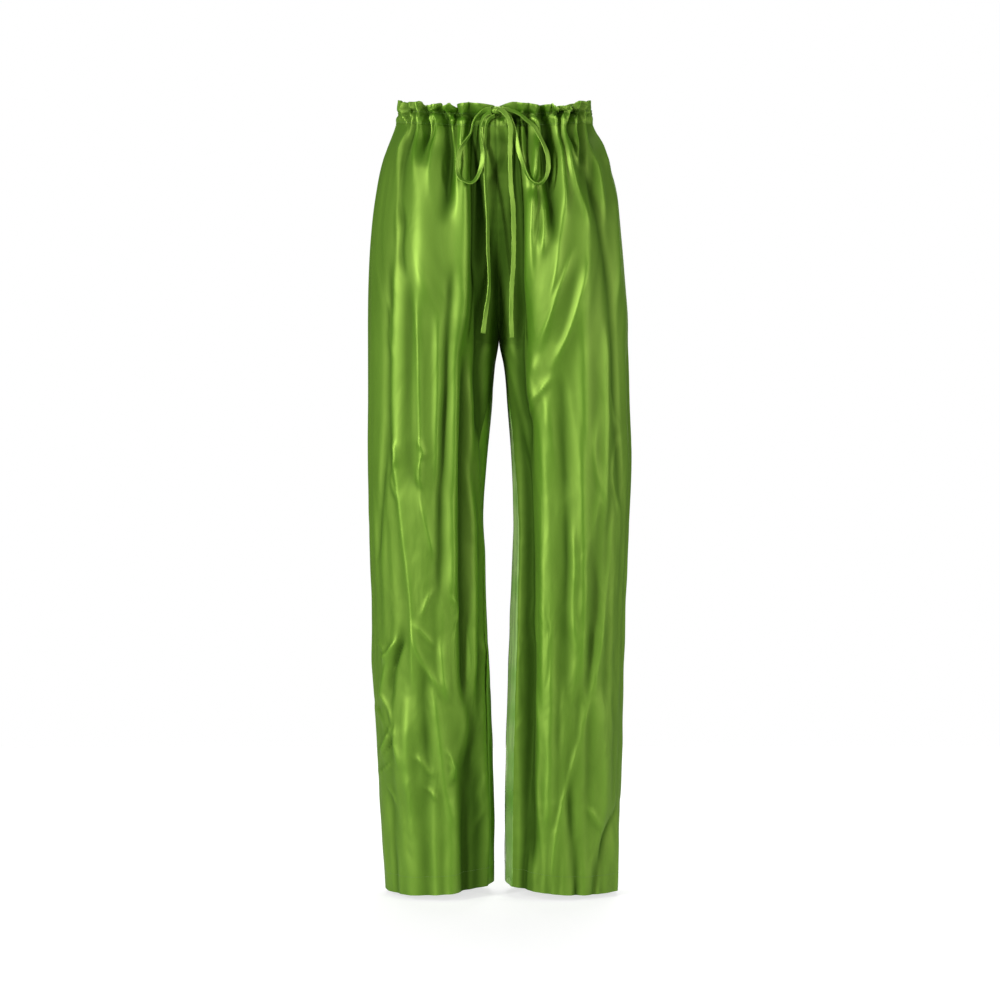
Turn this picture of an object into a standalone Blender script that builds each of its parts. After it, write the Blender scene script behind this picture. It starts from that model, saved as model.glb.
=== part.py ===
"""Satin drawstring trousers, hollow and filled out as if worn.

+Z is up, the front faces -Y, and +X is on the right as seen from the front.
The origin is the centre of the waist, at the height of the drawstring.
Every size below is in millimetres; points become metres as a mesh is made.
"left" and "right" are the sides as seen from the front.
"""

import bpy
import numpy as np
from mathutils import Vector

MM = 0.001

# Driving sizes
HEADER_TOP = 20.0  # the frill's edge above the drawstring
WAIST_DIP = {"front": 9.0, "back": 4.0}  # how much lower the waist sits at the centre than at the sides
DIP_FADES_BY = -170.0
CASING_FOOT = -12.0  # the seam under the drawstring's channel
FORK = -305.0  # where the crotch seam meets the inseams
HEM_OUTSIDE = -1046.0
HEM_INSIDE = -1035.0
HEM_TURN_UP = 27.0
WALL = 1.2
SEAM_GAP = 0.3
CORD_DIAMETER = 4.4

# The cloth's own outline at each height, before folds. centre is the line of the front and back seams;
# out is the x of each leg's outer side; in is how far each leg's inner side stands from the centre.
# front and back are depths. turn is how far round the leg, in degrees, the inseam lies towards the front.
SECTION_COLUMNS = (
    "z", "centre", "left_out", "left_in", "right_in", "right_out", "front", "back", "left_turn", "right_turn",
)
SECTION_ROWS = (
    (22, -4, -135, 0, 0, 123, 86, 90, 0, 0),
    (0, -4, -134, 0, 0, 122, 86, 90, 0, 0),
    (-12, -4, -137, 0, 0, 124, 88, 92, 0, 0),
    (-60, -3, -156, 0, 0, 146, 101, 110, 0, 0),
    (-114, -2, -167, 0, 0, 158, 110, 123, 0, 0),
    (-168, -1, -173, 0, 0, 165, 115, 130, 0, 0),
    (-222, 0, -176, 0, 0, 170, 116, 131, 0, 0),
    (-276, 0, -177, 0, 0, 174, 113, 124, 0, 0),
    (-305, 0, -177, 0, 0, 174, 110, 118, 0, 0),
    (-335, 0, -177, 5, 6, 175, 107, 111, 6, 4),
    (-385, 0, -177, 9, 11, 176, 102, 103, 20, 14),
    (-466, 0, -177, 16, 18, 179, 96, 95, 27, 28),
    (-547, 0, -176, 19, 20, 177, 92, 90, 18, 34),
    (-656, 0, -172, 17, 16, 172, 88, 87, 20, 34),
    (-791, 0, -168, 11, 11, 168, 84, 85, 26, 34),
    (-927, 0, -162, 7, 8, 164, 80, 83, 30, 34),
    (-1046, 0, -154, 7, 8, 158, 78, 82, 30, 34),
)
SECTIONS = dict(zip(SECTION_COLUMNS, np.array(SECTION_ROWS, float).T))

# How many gathers each panel draws up at the waist, and how much closer they lie at the side seam
# than at the centre
GATHERS = {"front": 8, "back": 9}
GATHER_CROWDING = {"front": 0.42, "back": 0.12}
POINTS_PER_GATHER = 6
EDGE_WOBBLE = 1.4  # how far the frill's edge rises and falls with its waves

# Height of a gather's wave at each level: a frill above the channel, drawn in at both its seams, and
# dying out down the hip
GATHER_LEVELS = (26, 20, 11, 2, -5, -12, -34, -58, -84, -114, -160)
GATHER_HEIGHTS = (6.2, 6.0, 4.6, 3.0, 4.0, 3.4, 4.6, 3.9, 2.6, 1.3, 0.0)

# The largest folds. x is across the front, or across the back as seen from the front; z_top and z_foot
# are where the fold starts and ends; bow is how far its middle swings along x; left and right are
# how far each flank spreads; height is positive for a ridge and negative for a trough.
FOLD_COLUMNS = ("face", "leg", "x_top", "z_top", "x_foot", "z_foot", "bow", "left", "right", "height")
FOLD_ROWS = (
    ("front", "left", -141, -70, -148, -560, 8, 9, 11, 5.0),
    ("front", "left", -150, -80, -166, -600, 4, 8, 8, -4.0),
    ("front", "left", -122, -330, -112, -640, -4, 14, 10, -5.5),
    ("front", "left", -106, -70, -104, -520, 2, 15, 16, 5.0),
    ("front", "left", -70, -20, -72, -130, -2, 14, 12, -7.0),
    ("front", "left", -72, -260, -82, -640, -4, 8, 9, -4.5),
    ("front", "left", -44, -50, -60, -340, 14, 12, 7, 7.5),
    ("front", "left", -31, -20, -46, -1000, -10, 10, 12, -9.0),
    ("front", "left", -34, -330, -34, -880, -3, 7, 7, 5.5),
    ("front", "left", -118, -600, -112, -1040, 2, 22, 18, 5.0),
    ("front", "left", -80, -720, -66, -1040, -4, 16, 14, 4.5),
    ("front", "left", -118, -690, -70, -800, 0, 8, 10, -5.0),
    ("front", "left", -132, -700, -152, -820, 0, 10, 8, 5.0),
    ("front", "right", 27, -30, 44, -1000, 6, 9, 16, -8.0),
    ("front", "right", 33, -70, 36, -250, 4, 7, 9, 6.0),
    ("front", "right", 63, -14, 76, -150, -2, 13, 11, -9.0),
    ("front", "right", 82, -20, 70, -260, 14, 10, 16, 6.0),
    ("front", "right", 104, -30, 120, -560, 10, 22, 18, 5.0),
    ("front", "right", 104, -60, 166, -520, 10, 9, 9, -6.0),
    ("front", "right", 134, -60, 158, -420, 6, 9, 10, 5.0),
    ("front", "right", 108, -190, 40, -400, -12, 9, 9, 4.5),
    ("front", "right", 92, -300, 94, -1000, -4, 16, 14, -5.0),
    ("front", "right", 64, -380, 62, -960, 2, 13, 13, 5.0),
    ("front", "right", 116, -520, 84, -940, 6, 14, 12, 5.5),
    ("front", "right", 150, -520, 72, -1030, 18, 8, 12, -5.0),
    ("front", "right", 160, -930, 130, -1046, 0, 12, 10, -6.0),
    ("back", "left", -140, -60, -140, -620, 6, 16, 14, -5.0),
    ("back", "left", -104, -90, -112, -900, -6, 18, 18, 6.0),
    ("back", "left", -70, -50, -76, -560, 5, 13, 13, -6.5),
    ("back", "left", -40, -80, -50, -380, 5, 14, 16, 6.0),
    ("back", "left", -74, -520, -60, -1040, -8, 16, 16, 5.5),
    ("back", "left", -128, -640, -108, -1040, 6, 14, 16, -5.0),
    ("back", "left", -34, -420, -36, -980, 3, 9, 10, -5.0),
    ("back", "right", 130, -60, 138, -600, -5, 15, 16, -5.5),
    ("back", "right", 100, -90, 104, -820, 6, 18, 16, 5.5),
    ("back", "right", 66, -50, 72, -540, -6, 12, 14, -6.0),
    ("back", "right", 36, -80, 48, -360, -4, 14, 14, 5.5),
    ("back", "right", 66, -560, 60, -1040, 6, 16, 15, 6.0),
    ("back", "right", 122, -560, 104, -1040, -8, 15, 14, -5.5),
    ("back", "right", 32, -430, 34, -990, -3, 10, 9, -4.5),
)
FOLDS = [dict(zip(FOLD_COLUMNS, row)) for row in FOLD_ROWS]
FOLD_RUN_OUT = 60.0  # over which a fold rises and dies away at its ends

# Heights of the grid's rows, at the side seam and at the inner edge. The inner edge follows the crotch
# seam down to the fork, so its rows crowd together there.
ROWS = (
    (-12, -12), (-34, -34), (-58, -58), (-84, -84), (-114, -116), (-150, -154), (-188, -194),
    (-226, -234), (-264, -268), (-302, -292), (-340, -305), (-385, -348), (-435, -410),
    (-490, -476), (-550, -545), (-610, -610), (-670, -670), (-730, -730), (-790, -790),
    (-850, -850), (-910, -910), (-970, -970),
)
GATHERED_ROWS = 2  # these have a point for every step of the gathers
HALVED_ROWS = 2  # these have half as many
COLUMNS = 22  # and the rest have this many

# The drawstring's free stretches: (x, y, z) down the middle of each, from the knot
KNOT = {"centre": (-3.0, -90.7, 0.8), "size": (13.0, 9.0, 10.0)}
CORD_ROUTES = {
    "bow_loop_left": (
        (-9.9, -92, 2.5), (-18.5, -90.5, 1), (-25.5, -90, -4), (-31.5, -90, -11), (-34.5, -91, -18),
        (-37, -94, -29), (-42, -96.5, -37.5), (-49, -99.5, -47.5), (-53, -102.5, -59.5),
        (-54.5, -105.5, -70.5), (-54.5, -107.5, -81), (-52, -109.5, -89), (-45, -110.5, -93.5),
        (-37, -110.5, -95.5), (-30.5, -109.5, -91), (-25.5, -109, -81), (-22, -108, -68.5),
        (-21.5, -106, -55), (-23, -102.5, -43), (-24.5, -97.5, -26), (-23, -95, -15),
        (-19.5, -94, -7.5), (-14, -93, -3.5), (-9.9, -92.5, -2.6),
    ),
    "bow_loop_right": (
        (4, -92, 2.5), (15, -90.5, 1), (26.5, -89.5, -4), (37, -89.5, -12.5), (46, -89.5, -20),
        (51.5, -90.5, -29.5), (58.5, -92.5, -43.5), (63.5, -95.5, -56.5), (65, -98, -70),
        (64, -100.5, -81), (60, -103.5, -91), (53.5, -106, -96.5), (47, -106.5, -95.5),
        (40.5, -105.5, -90), (35, -103.5, -80), (30.5, -101, -67), (26.5, -98.5, -54.5),
        (24, -96.5, -42.5), (22, -95, -32.5), (18.5, -94, -19), (14, -93.5, -9), (9, -93, -3.5),
        (4, -92.5, -2.6),
    ),
    "drawstring_end_left": (
        (-5, -90.8, -6.4), (-9.5, -90.8, -8.2), (-13.5, -90.8, -11.5), (-17, -92, -19.5), (-18, -97, -37), (-18, -101.5, -59.5),
        (-18.5, -104.5, -81), (-18, -105.5, -97.5), (-17, -106, -114.5), (-15, -105.5, -143.5),
        (-14.5, -104, -181.5), (-13, -103, -216), (-13.5, -102.5, -240), (-17, -102, -263.5),
        (-21, -101.5, -293),
    ),
    "drawstring_end_right": (
        (0.5, -97, 2.5), (4.5, -98, -0.5), (9, -99.5, -5), (13, -100.5, -13), (15.5, -100.5, -23.5), (15, -101, -37),
        (14.5, -103, -59.5), (15, -105, -81), (16, -105.5, -103.5), (18.5, -105.5, -125),
        (19.5, -104.5, -162), (19, -103.5, -201), (17, -103, -230.5), (16, -102.5, -269.5),
        (17, -102, -299),
    ),
}
CORD_STEP = 11.0  # between a tube's points

SATIN_GREEN = (0.10, 0.26, 0.02, 1.0)
LEGS = ("left", "right")


def smooth_step(value):
    value = np.clip(value, 0.0, 1.0)
    return value * value * (3.0 - 2.0 * value)


def through(levels, values, z):
    """A smooth curve through a table's column, at the heights z. The levels run downwards."""
    at, y = -np.asarray(levels, float), np.asarray(values, float)
    slope = np.gradient(y, at)
    z = np.clip(-np.asarray(z, float), at[0], at[-1])
    row = np.clip(np.searchsorted(at, z, side="right") - 1, 0, len(at) - 2)
    step = at[row + 1] - at[row]
    s = (z - at[row]) / step
    return (
        (1 + 2 * s) * (1 - s) ** 2 * y[row]
        + s * (1 - s) ** 2 * step * slope[row]
        + s * s * (3 - 2 * s) * y[row + 1]
        + s * s * (s - 1) * step * slope[row + 1]
    )


def section(column, z):
    return through(SECTIONS["z"], SECTIONS[column], z)


def inner_side(leg, z):
    """Where each leg's inner side lies: on the centre line down to the fork, and clear of it below."""
    away = np.where(np.asarray(z) < FORK, section(leg + "_in", z), 0.0)
    return section("centre", z) + away * (-1.0 if leg == "left" else 1.0)


def base_outline(leg, z, c):
    """The unfolded cloth at height z. c runs round a leg's cloth: 0 at the centre front or inseam,
    1 at the side seam and 2 at the centre back or inseam."""
    outside, inside = section(leg + "_out", z), inner_side(leg, z)
    turn = np.radians(section(leg + "_turn", z))
    back = c > 1.0
    across = np.where(back, 2.0 - c, c)
    round_leg = np.where(back, (np.pi + turn) * across, turn + (np.pi - turn) * across) - np.where(back, turn, 0.0)
    leg_share = (1.0 - np.cos(round_leg)) / 2.0
    hip_share = np.sin(across * np.pi / 2.0)
    opened = smooth_step((-150.0 - z) / (-150.0 - FORK))
    share = (1.0 - opened) * hip_share + opened * leg_share
    # how open the crotch is: 1 at the waist, 0 at the fork and below
    fall = np.clip((-20.0 - z) / (-20.0 - FORK), 0.0, 1.0)
    hollow = np.where(back, 0.10, 0.26) * smooth_step((-10.0 - z) / 110.0)
    steep = np.where(back, 5.0, 4.0)
    openness = (1.0 - hollow) * np.sqrt(np.clip(1.0 - fall**steep, 0.0, 1.0))
    soften = share / (share + 0.10 * openness**2 + 1e-9)
    lobes = np.sqrt(np.clip(4.0 * share * (1.0 - share) * soften + (openness * (1.0 - share)) ** 2, 0.0, None))
    barrel = np.sqrt(np.clip(1.0 - share**2, 0.0, 1.0))
    lobed = smooth_step((-10.0 - z) / 230.0)
    depth = (1.0 - lobed) * barrel + lobed * lobes
    # past a leg's innermost point its back cloth comes round to the front
    reach = np.where(back & (round_leg >= 0.0), section("back", z), -section("front", z))
    return inside + (outside - inside) * share, reach * depth


def fold_path(fold, z):
    down = np.clip((fold["z_top"] - z) / (fold["z_top"] - fold["z_foot"]), 0.0, 1.0)
    return fold["x_top"] + (fold["x_foot"] - fold["x_top"]) * down + fold["bow"] * np.sin(np.pi * down)


def face_share(face, z, c):
    """How much a face's folds count at c: wholly on their own face, fading just past its seams."""
    across = c if face == "front" else 2.0 - c
    past_side = 1.0 - smooth_step((across - 1.0) / 0.3)
    past_inseam = smooth_step((across - 1.7) / 0.3) * (z < FORK)
    return past_side + past_inseam


def fold_height(leg, z, c, x):
    total = np.zeros_like(x)
    for fold in FOLDS:
        if fold["leg"] != leg:
            continue
        away = x - fold_path(fold, z)
        spread = np.where(away < 0.0, fold["left"], fold["right"])
        ends = smooth_step((fold["z_top"] - z) / FOLD_RUN_OUT) * smooth_step((z - fold["z_foot"]) / FOLD_RUN_OUT)
        if fold["z_foot"] <= HEM_INSIDE:  # a fold that runs off the hem
            ends = smooth_step((fold["z_top"] - z) / FOLD_RUN_OUT)
        total += fold["height"] * np.exp(-((away / spread) ** 2)) * ends * face_share(fold["face"], z, c)
    return total


def gather_phase(face, across):
    crowding = GATHER_CROWDING[face]
    return 2 * np.pi * GATHERS[face] * (across - crowding / np.pi * np.sin(np.pi * across))


def gather_height(leg, z, c):
    """The gathers' waves, uneven from one to the next, and flat at the centre front."""
    wave = through(GATHER_LEVELS, GATHER_HEIGHTS, z)
    total = np.zeros_like(c)
    lean = 0.7 if leg == "left" else 2.1
    for face, across, here in (("front", c, c <= 1.0), ("back", 2.0 - c, c > 1.0)):
        phase = gather_phase(face, across)
        uneven = 0.78 + 0.22 * np.cos(phase * 0.37 + lean) * np.sin(np.pi * across)
        calm = 0.35 + 0.65 * smooth_step(across / 0.34) if face == "front" else 1.0
        total = np.where(here, wave * uneven * calm * np.cos(phase), total)
    return total


def cloth(leg, z, c):
    """A point of the cloth's outer face, with its folds and gathers, as an array of (x, y, z)."""
    z, c = np.broadcast_arrays(np.asarray(z, float), np.asarray(c, float))
    x, y = base_outline(leg, z, c)
    small = 1e-4
    low, high = np.clip(c - small, 0.0, 2.0), np.clip(c + small, 0.0, 2.0)
    x_low, y_low = base_outline(leg, z, low)
    x_high, y_high = base_outline(leg, z, high)
    along = np.hypot(x_high - x_low, y_high - y_low) + 1e-12
    side = -1.0 if leg == "left" else 1.0
    out_x, out_y = side * (y_high - y_low) / along, -side * (x_high - x_low) / along
    at_seam = smooth_step(np.minimum(c, 2.0 - c) / 0.12)
    held = np.where(z > FORK, at_seam, smooth_step((FORK - z) / 60.0) * (1.0 - at_seam) + at_seam)
    push = (fold_height(leg, z, c, x) + gather_height(leg, z, c)) * held
    centre = section("centre", z)
    clear = np.maximum(side * (x + out_x * push - centre), 0.7 * side * (x - centre))
    dip = np.where(c > 1.0, WAIST_DIP["back"], WAIST_DIP["front"]) * np.cos(np.pi * c / 2.0) ** 2
    sunk = z - dip * smooth_step((z - DIP_FADES_BY) / -DIP_FADES_BY)
    return np.stack([centre + side * clear, y + out_y * push, sunk], axis=-1)


def outward(leg, z, c):
    """The cloth's outward direction at each point."""
    small_c, small_z = 1e-3, 0.4
    round_it = cloth(leg, z, np.clip(c + small_c, 0.0, 2.0)) - cloth(leg, z, np.clip(c - small_c, 0.0, 2.0))
    down_it = cloth(leg, z - small_z, c) - cloth(leg, z + small_z, c)
    normal = np.cross(round_it, down_it) * (1.0 if leg == "left" else -1.0)
    return normal / np.linalg.norm(normal, axis=-1, keepdims=True)


def satin(name):
    material = bpy.data.materials.new(name)
    material.use_nodes = True
    shader = material.node_tree.nodes["Principled BSDF"]
    shader.inputs["Base Color"].default_value = SATIN_GREEN
    shader.inputs["Roughness"].default_value = 0.35
    shader.inputs["Metallic"].default_value = 0.3
    return material


def object_of(name, points, faces):
    mesh = bpy.data.meshes.new(name)
    mesh.from_pydata([tuple(p * MM) for p in points], [], faces)
    mesh.materials.append(satin(name))
    mesh.validate()
    mesh.shade_smooth()
    mesh.set_sharp_from_angle(angle=np.radians(50))
    made = bpy.data.objects.new(name, mesh)
    bpy.context.scene.collection.objects.link(made)
    return made


def zipped(upper, lower):
    """Triangles and quads between two rows of points, each a list of (c, index) from end to end."""
    faces, i, j = [], 0, 0
    same = len(upper) == len(lower)
    while i < len(upper) - 1 or j < len(lower) - 1:
        if same:
            faces.append((upper[i][1], lower[j][1], lower[j + 1][1], upper[i + 1][1]))
            i, j = i + 1, j + 1
        elif j == len(lower) - 1 or (i < len(upper) - 1 and upper[i + 1][0] <= lower[j + 1][0]):
            faces.append((upper[i][1], lower[j][1], upper[i + 1][1]))
            i += 1
        else:
            faces.append((upper[i][1], lower[j][1], lower[j + 1][1]))
            j += 1
    return faces


def wall(name, rows, turned):
    """A closed wall from rows of (c, outer point, inner point), the first row at the top."""
    points, outer, inner = [], [], []
    for row in rows:
        outer.append([(c, len(points) + 2 * i) for i, (c, _, _) in enumerate(row)])
        inner.append([(c, len(points) + 2 * i + 1) for i, (c, _, _) in enumerate(row)])
        for _, outside, inside in row:
            points += [outside, inside]
    faces = []
    for k in range(len(rows) - 1):
        faces += zipped(outer[k], outer[k + 1])
        faces += [face[::-1] for face in zipped(inner[k], inner[k + 1])]
        for end in (0, -1):
            rim = (outer[k][end][1], inner[k][end][1], inner[k + 1][end][1], outer[k + 1][end][1])
            faces.append(rim if end == 0 else rim[::-1])
    for k in (0, -1):
        for (_, a), (_, b), (_, d), (_, e) in zip(outer[k], outer[k][1:], inner[k][1:], inner[k]):
            faces.append((a, b, d, e) if k == 0 else (e, d, b, a))
    return object_of(name, points, [face[::-1] for face in faces] if turned else faces)


def hem_line(leg, c):
    outside, inside = section(leg + "_out", HEM_INSIDE), inner_side(leg, HEM_INSIDE)
    x, _ = base_outline(leg, np.full_like(c, HEM_INSIDE), c)
    return HEM_INSIDE + (HEM_OUTSIDE - HEM_INSIDE) * np.clip((x - inside) / (outside - inside), 0.0, 1.0)


def gather_columns(face, points):
    """c at each step of the gathers, found by reading the phase backwards."""
    fine = np.linspace(0.0, 1.0, 2001)
    steps = np.linspace(0.0, 1.0, points * GATHERS[face] + 1) * 2 * np.pi * GATHERS[face]
    return np.interp(steps, gather_phase(face, fine), fine)


def panel(face, leg):
    """A quarter of the trousers, from the casing to the hem, with its hem turned up inside."""
    rows = []
    heights = [*ROWS, "hem_top", "hem_step", "hem"]
    for k, height in enumerate(heights):
        if k < GATHERED_ROWS:
            across = gather_columns(face, POINTS_PER_GATHER)
        elif k < GATHERED_ROWS + HALVED_ROWS:
            across = gather_columns(face, POINTS_PER_GATHER // 2)
        else:
            across = np.linspace(0.0, 1.0, COLUMNS + 1)
        c = across if face == "front" else 2.0 - across
        thick = WALL
        if isinstance(height, tuple):
            pull = 1.0 - smooth_step(across / 0.7)
            z = height[0] + (height[1] - height[0]) * pull
            if k == 0:
                z = z - SEAM_GAP / 2
        else:
            lift = {"hem_top": HEM_TURN_UP + 3.0, "hem_step": HEM_TURN_UP, "hem": 0.0}[height]
            z = hem_line(leg, c) + lift
            if height != "hem_top":
                thick = 2 * WALL
        out = outward(leg, z, c)
        outside = cloth(leg, z, c)
        on_centre = z[0] >= FORK - 0.01
        if on_centre:
            out[0, 0] = 0.0
            out[0] /= np.linalg.norm(out[0])
        inside = outside - out * thick
        # each panel stops half a seam gap short of its neighbours
        for end, neighbour in ((0, 1), (-1, -2)):
            inward = outside[neighbour] - outside[end]
            inward *= SEAM_GAP / 2 / np.linalg.norm(inward)
            if end == 0 and on_centre:
                side = -1.0 if leg == "left" else 1.0
                inward = np.array([side * SEAM_GAP / 2, 0.0, 0.0])
                if z[0] <= FORK + 0.01:
                    inward[1] = -SEAM_GAP / 2 if face == "front" else SEAM_GAP / 2
            outside[end] = outside[end] + inward
            inside[end] = inside[end] + inward
        rows.append(list(zip(across, outside, inside)))
    return wall(f"{face}_{leg}", rows, turned=(face == "front") == (leg == "left"))


def casing(face):
    """The gathered channel and its frill, over both panels of one face, from side seam to side seam."""
    levels = (HEADER_TOP, 2.0, -5.0, CASING_FOOT + SEAM_GAP / 2)
    across = gather_columns(face, POINTS_PER_GATHER)
    c = across if face == "front" else 2.0 - across
    rows = []
    for k, level in enumerate(levels):
        halves = []
        for leg, lean in zip(LEGS, (0.4, 1.3)):
            phase = gather_phase(face, across)
            wobble = EDGE_WOBBLE * (np.cos(phase) + np.sin(phase * 0.5 + lean)) * np.sin(np.pi * across)
            z = np.full_like(c, level) + (wobble if k == 0 else 0.0)
            outside, out = cloth(leg, z, c), outward(leg, z, c)
            out[0, 0] = 0.0
            out[0] /= np.linalg.norm(out[0])
            inside = outside - out * WALL
            inward = outside[-2] - outside[-1]
            inward *= SEAM_GAP / 2 / np.linalg.norm(inward)
            outside[-1], inside[-1] = outside[-1] + inward, inside[-1] + inward
            sign = -1.0 if leg == "left" else 1.0
            halves.append(list(zip(sign * across, outside, inside)))
        rows.append(halves[0][:0:-1] + halves[1])
    return wall(f"casing_{face}", rows, turned=face == "back")


def smooth_route(route):
    """Points CORD_STEP apart, or a little less, along a smooth curve through a route's own points."""
    own = np.array(route, float)
    padded = np.vstack([2 * own[0] - own[1], own, 2 * own[-1] - own[-2]])
    fine = []
    for a, b, c, d in zip(padded, padded[1:], padded[2:], padded[3:]):
        for s in np.linspace(0.0, 1.0, 20, endpoint=False):
            fine.append(
                0.5 * (2 * b + (c - a) * s + (2 * a - 5 * b + 4 * c - d) * s**2 + (3 * b - a - 3 * c + d) * s**3)
            )
    fine = np.array(fine + [own[-1]])
    along = np.concatenate([[0.0], np.cumsum(np.linalg.norm(np.diff(fine, axis=0), axis=1))])
    steps = np.linspace(0.0, along[-1], int(np.ceil(along[-1] / CORD_STEP)) + 1)
    return np.stack([np.interp(steps, along, fine[:, k]) for k in range(3)], axis=1)


def cord(name, route):
    curve = bpy.data.curves.new(name, "CURVE")
    curve.dimensions = "3D"
    curve.bevel_depth = CORD_DIAMETER / 2 * MM
    curve.bevel_resolution = 2
    curve.use_fill_caps = True
    points = smooth_route(route)
    spline = curve.splines.new("POLY")
    spline.points.add(len(points) - 1)
    for spot, place in zip(spline.points, points):
        spot.co = (*(place * MM), 1.0)
    curve.materials.append(satin(name))
    made = bpy.data.objects.new(name, curve)
    bpy.context.scene.collection.objects.link(made)


def knot():
    """The bow's knot, a rounded lump on the front of the casing."""
    bpy.ops.mesh.primitive_uv_sphere_add(segments=12, ring_count=8, radius=0.5)
    made = bpy.context.object
    made.name = made.data.name = "bow_knot"
    for vertex in made.data.vertices:
        vertex.co = Vector([vertex.co[k] * KNOT["size"][k] * MM for k in range(3)])
    made.location = Vector(KNOT["centre"]) * MM
    made.data.materials.append(satin(made.name))
    made.data.shade_smooth()


def main():
    for old in list(bpy.data.objects):
        bpy.data.objects.remove(old)
    for face in ("front", "back"):
        casing(face)
        for leg in LEGS:
            panel(face, leg)
    knot()
    for name, route in CORD_ROUTES.items():
        cord(name, route)


main()
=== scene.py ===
"""Satin drawstring trousers, filled out as if worn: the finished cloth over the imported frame.

The cloth's lengths are in millimetres and become metres as a mesh is made. The camera, the floor and the
lights are in metres.
"left" and "right" are the sides as seen from the front.
"""

import bmesh
import bpy
import numpy as np
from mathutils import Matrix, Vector


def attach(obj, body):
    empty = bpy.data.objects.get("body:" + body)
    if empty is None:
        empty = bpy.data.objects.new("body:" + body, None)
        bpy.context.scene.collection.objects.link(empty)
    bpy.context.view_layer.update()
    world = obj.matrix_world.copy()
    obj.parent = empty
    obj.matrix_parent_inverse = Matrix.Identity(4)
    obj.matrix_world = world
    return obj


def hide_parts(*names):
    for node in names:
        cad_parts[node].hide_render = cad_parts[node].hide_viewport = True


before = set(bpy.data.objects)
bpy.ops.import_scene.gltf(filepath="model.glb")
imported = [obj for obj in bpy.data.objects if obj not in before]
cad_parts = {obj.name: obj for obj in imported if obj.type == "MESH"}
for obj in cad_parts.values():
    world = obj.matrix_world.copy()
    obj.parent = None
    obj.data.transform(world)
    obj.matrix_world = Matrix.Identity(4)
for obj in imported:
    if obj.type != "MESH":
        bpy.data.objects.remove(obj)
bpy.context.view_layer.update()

MM = 0.001


# Camera
# Level with the fork, square to the front and a good way off, looking a little down.
CAMERA_PLACE = (0.0014, -4.5, -0.30)
CAMERA_AIM = (0.0014, 0.0, -0.518)
CAMERA_LENS = 119.9

camera_data = bpy.data.cameras.new("camera")
camera_data.lens = CAMERA_LENS
camera_data.sensor_width = 36.0
camera_data.clip_end = 50.0
camera = bpy.data.objects.new("camera", camera_data)
camera.location = CAMERA_PLACE
camera.rotation_euler = (Vector(CAMERA_AIM) - Vector(CAMERA_PLACE)).to_track_quat("-Z", "Y").to_euler()
bpy.context.scene.collection.objects.link(camera)
bpy.context.scene.camera = camera


# Trouser panels
# Two fronts and two backs in green satin, each cut in one from the waist seam to the hem. They are sewn
# at the centre, the inseams and the sides, gathered into the casing, and turned up 27 mm at the hem.
CASING_FOOT = -12.0
FORK = -305.0
HEM_OUTSIDE = -1046.0
HEM_INSIDE = -1035.0
HEM_TURN_UP = 27.0
SATIN_THICK = 0.9
LEGS = ("left", "right")
WAIST_DIP = {"front": 9.0, "back": 4.0}
DIP_FADES_BY = -170.0

# The cloth's outline at each height: the centre line, each leg's outer side, how far each leg's inner side
# stands from the centre, the depths to the front and back, and how far in degrees the inseam is turned
# towards the front.
OUTLINE_COLUMNS = (
    "z", "centre", "left_out", "left_in", "right_in", "right_out", "front", "back", "left_turn", "right_turn",
)
OUTLINE_ROWS = (
    (22, -4, -130, 0, 0, 119, 84, 88, 0, 0),
    (0, -4, -134, 0, 0, 122, 86, 90, 0, 0),
    (-12, -4, -137, 0, 0, 124, 88, 92, 0, 0),
    (-60, -3, -156, 0, 0, 146, 101, 110, 0, 0),
    (-114, -2, -167, 0, 0, 158, 110, 123, 0, 0),
    (-168, -1, -173, 0, 0, 165, 115, 130, 0, 0),
    (-222, 0, -176, 0, 0, 170, 116, 131, 0, 0),
    (-276, 0, -177, 0, 0, 174, 113, 124, 0, 0),
    (-305, 0, -177, 0, 0, 174, 110, 118, 0, 0),
    (-335, 0, -177, 5, 6, 175, 107, 111, 6, 4),
    (-385, 0, -177, 9, 11, 176, 102, 103, 20, 14),
    (-466, 0, -177, 16, 18, 179, 96, 95, 27, 21),
    (-547, 0, -176, 19, 20, 177, 92, 90, 18, 25),
    (-656, 0, -172, 17, 16, 172, 88, 87, 20, 31),
    (-791, 0, -168, 11, 11, 168, 84, 85, 26, 34),
    (-927, 0, -162, 7, 8, 164, 80, 83, 30, 34),
    (-1046, 0, -154, 7, 8, 158, 78, 82, 30, 34),
)
OUTLINE = dict(zip(OUTLINE_COLUMNS, np.array(OUTLINE_ROWS, float).T))

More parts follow.
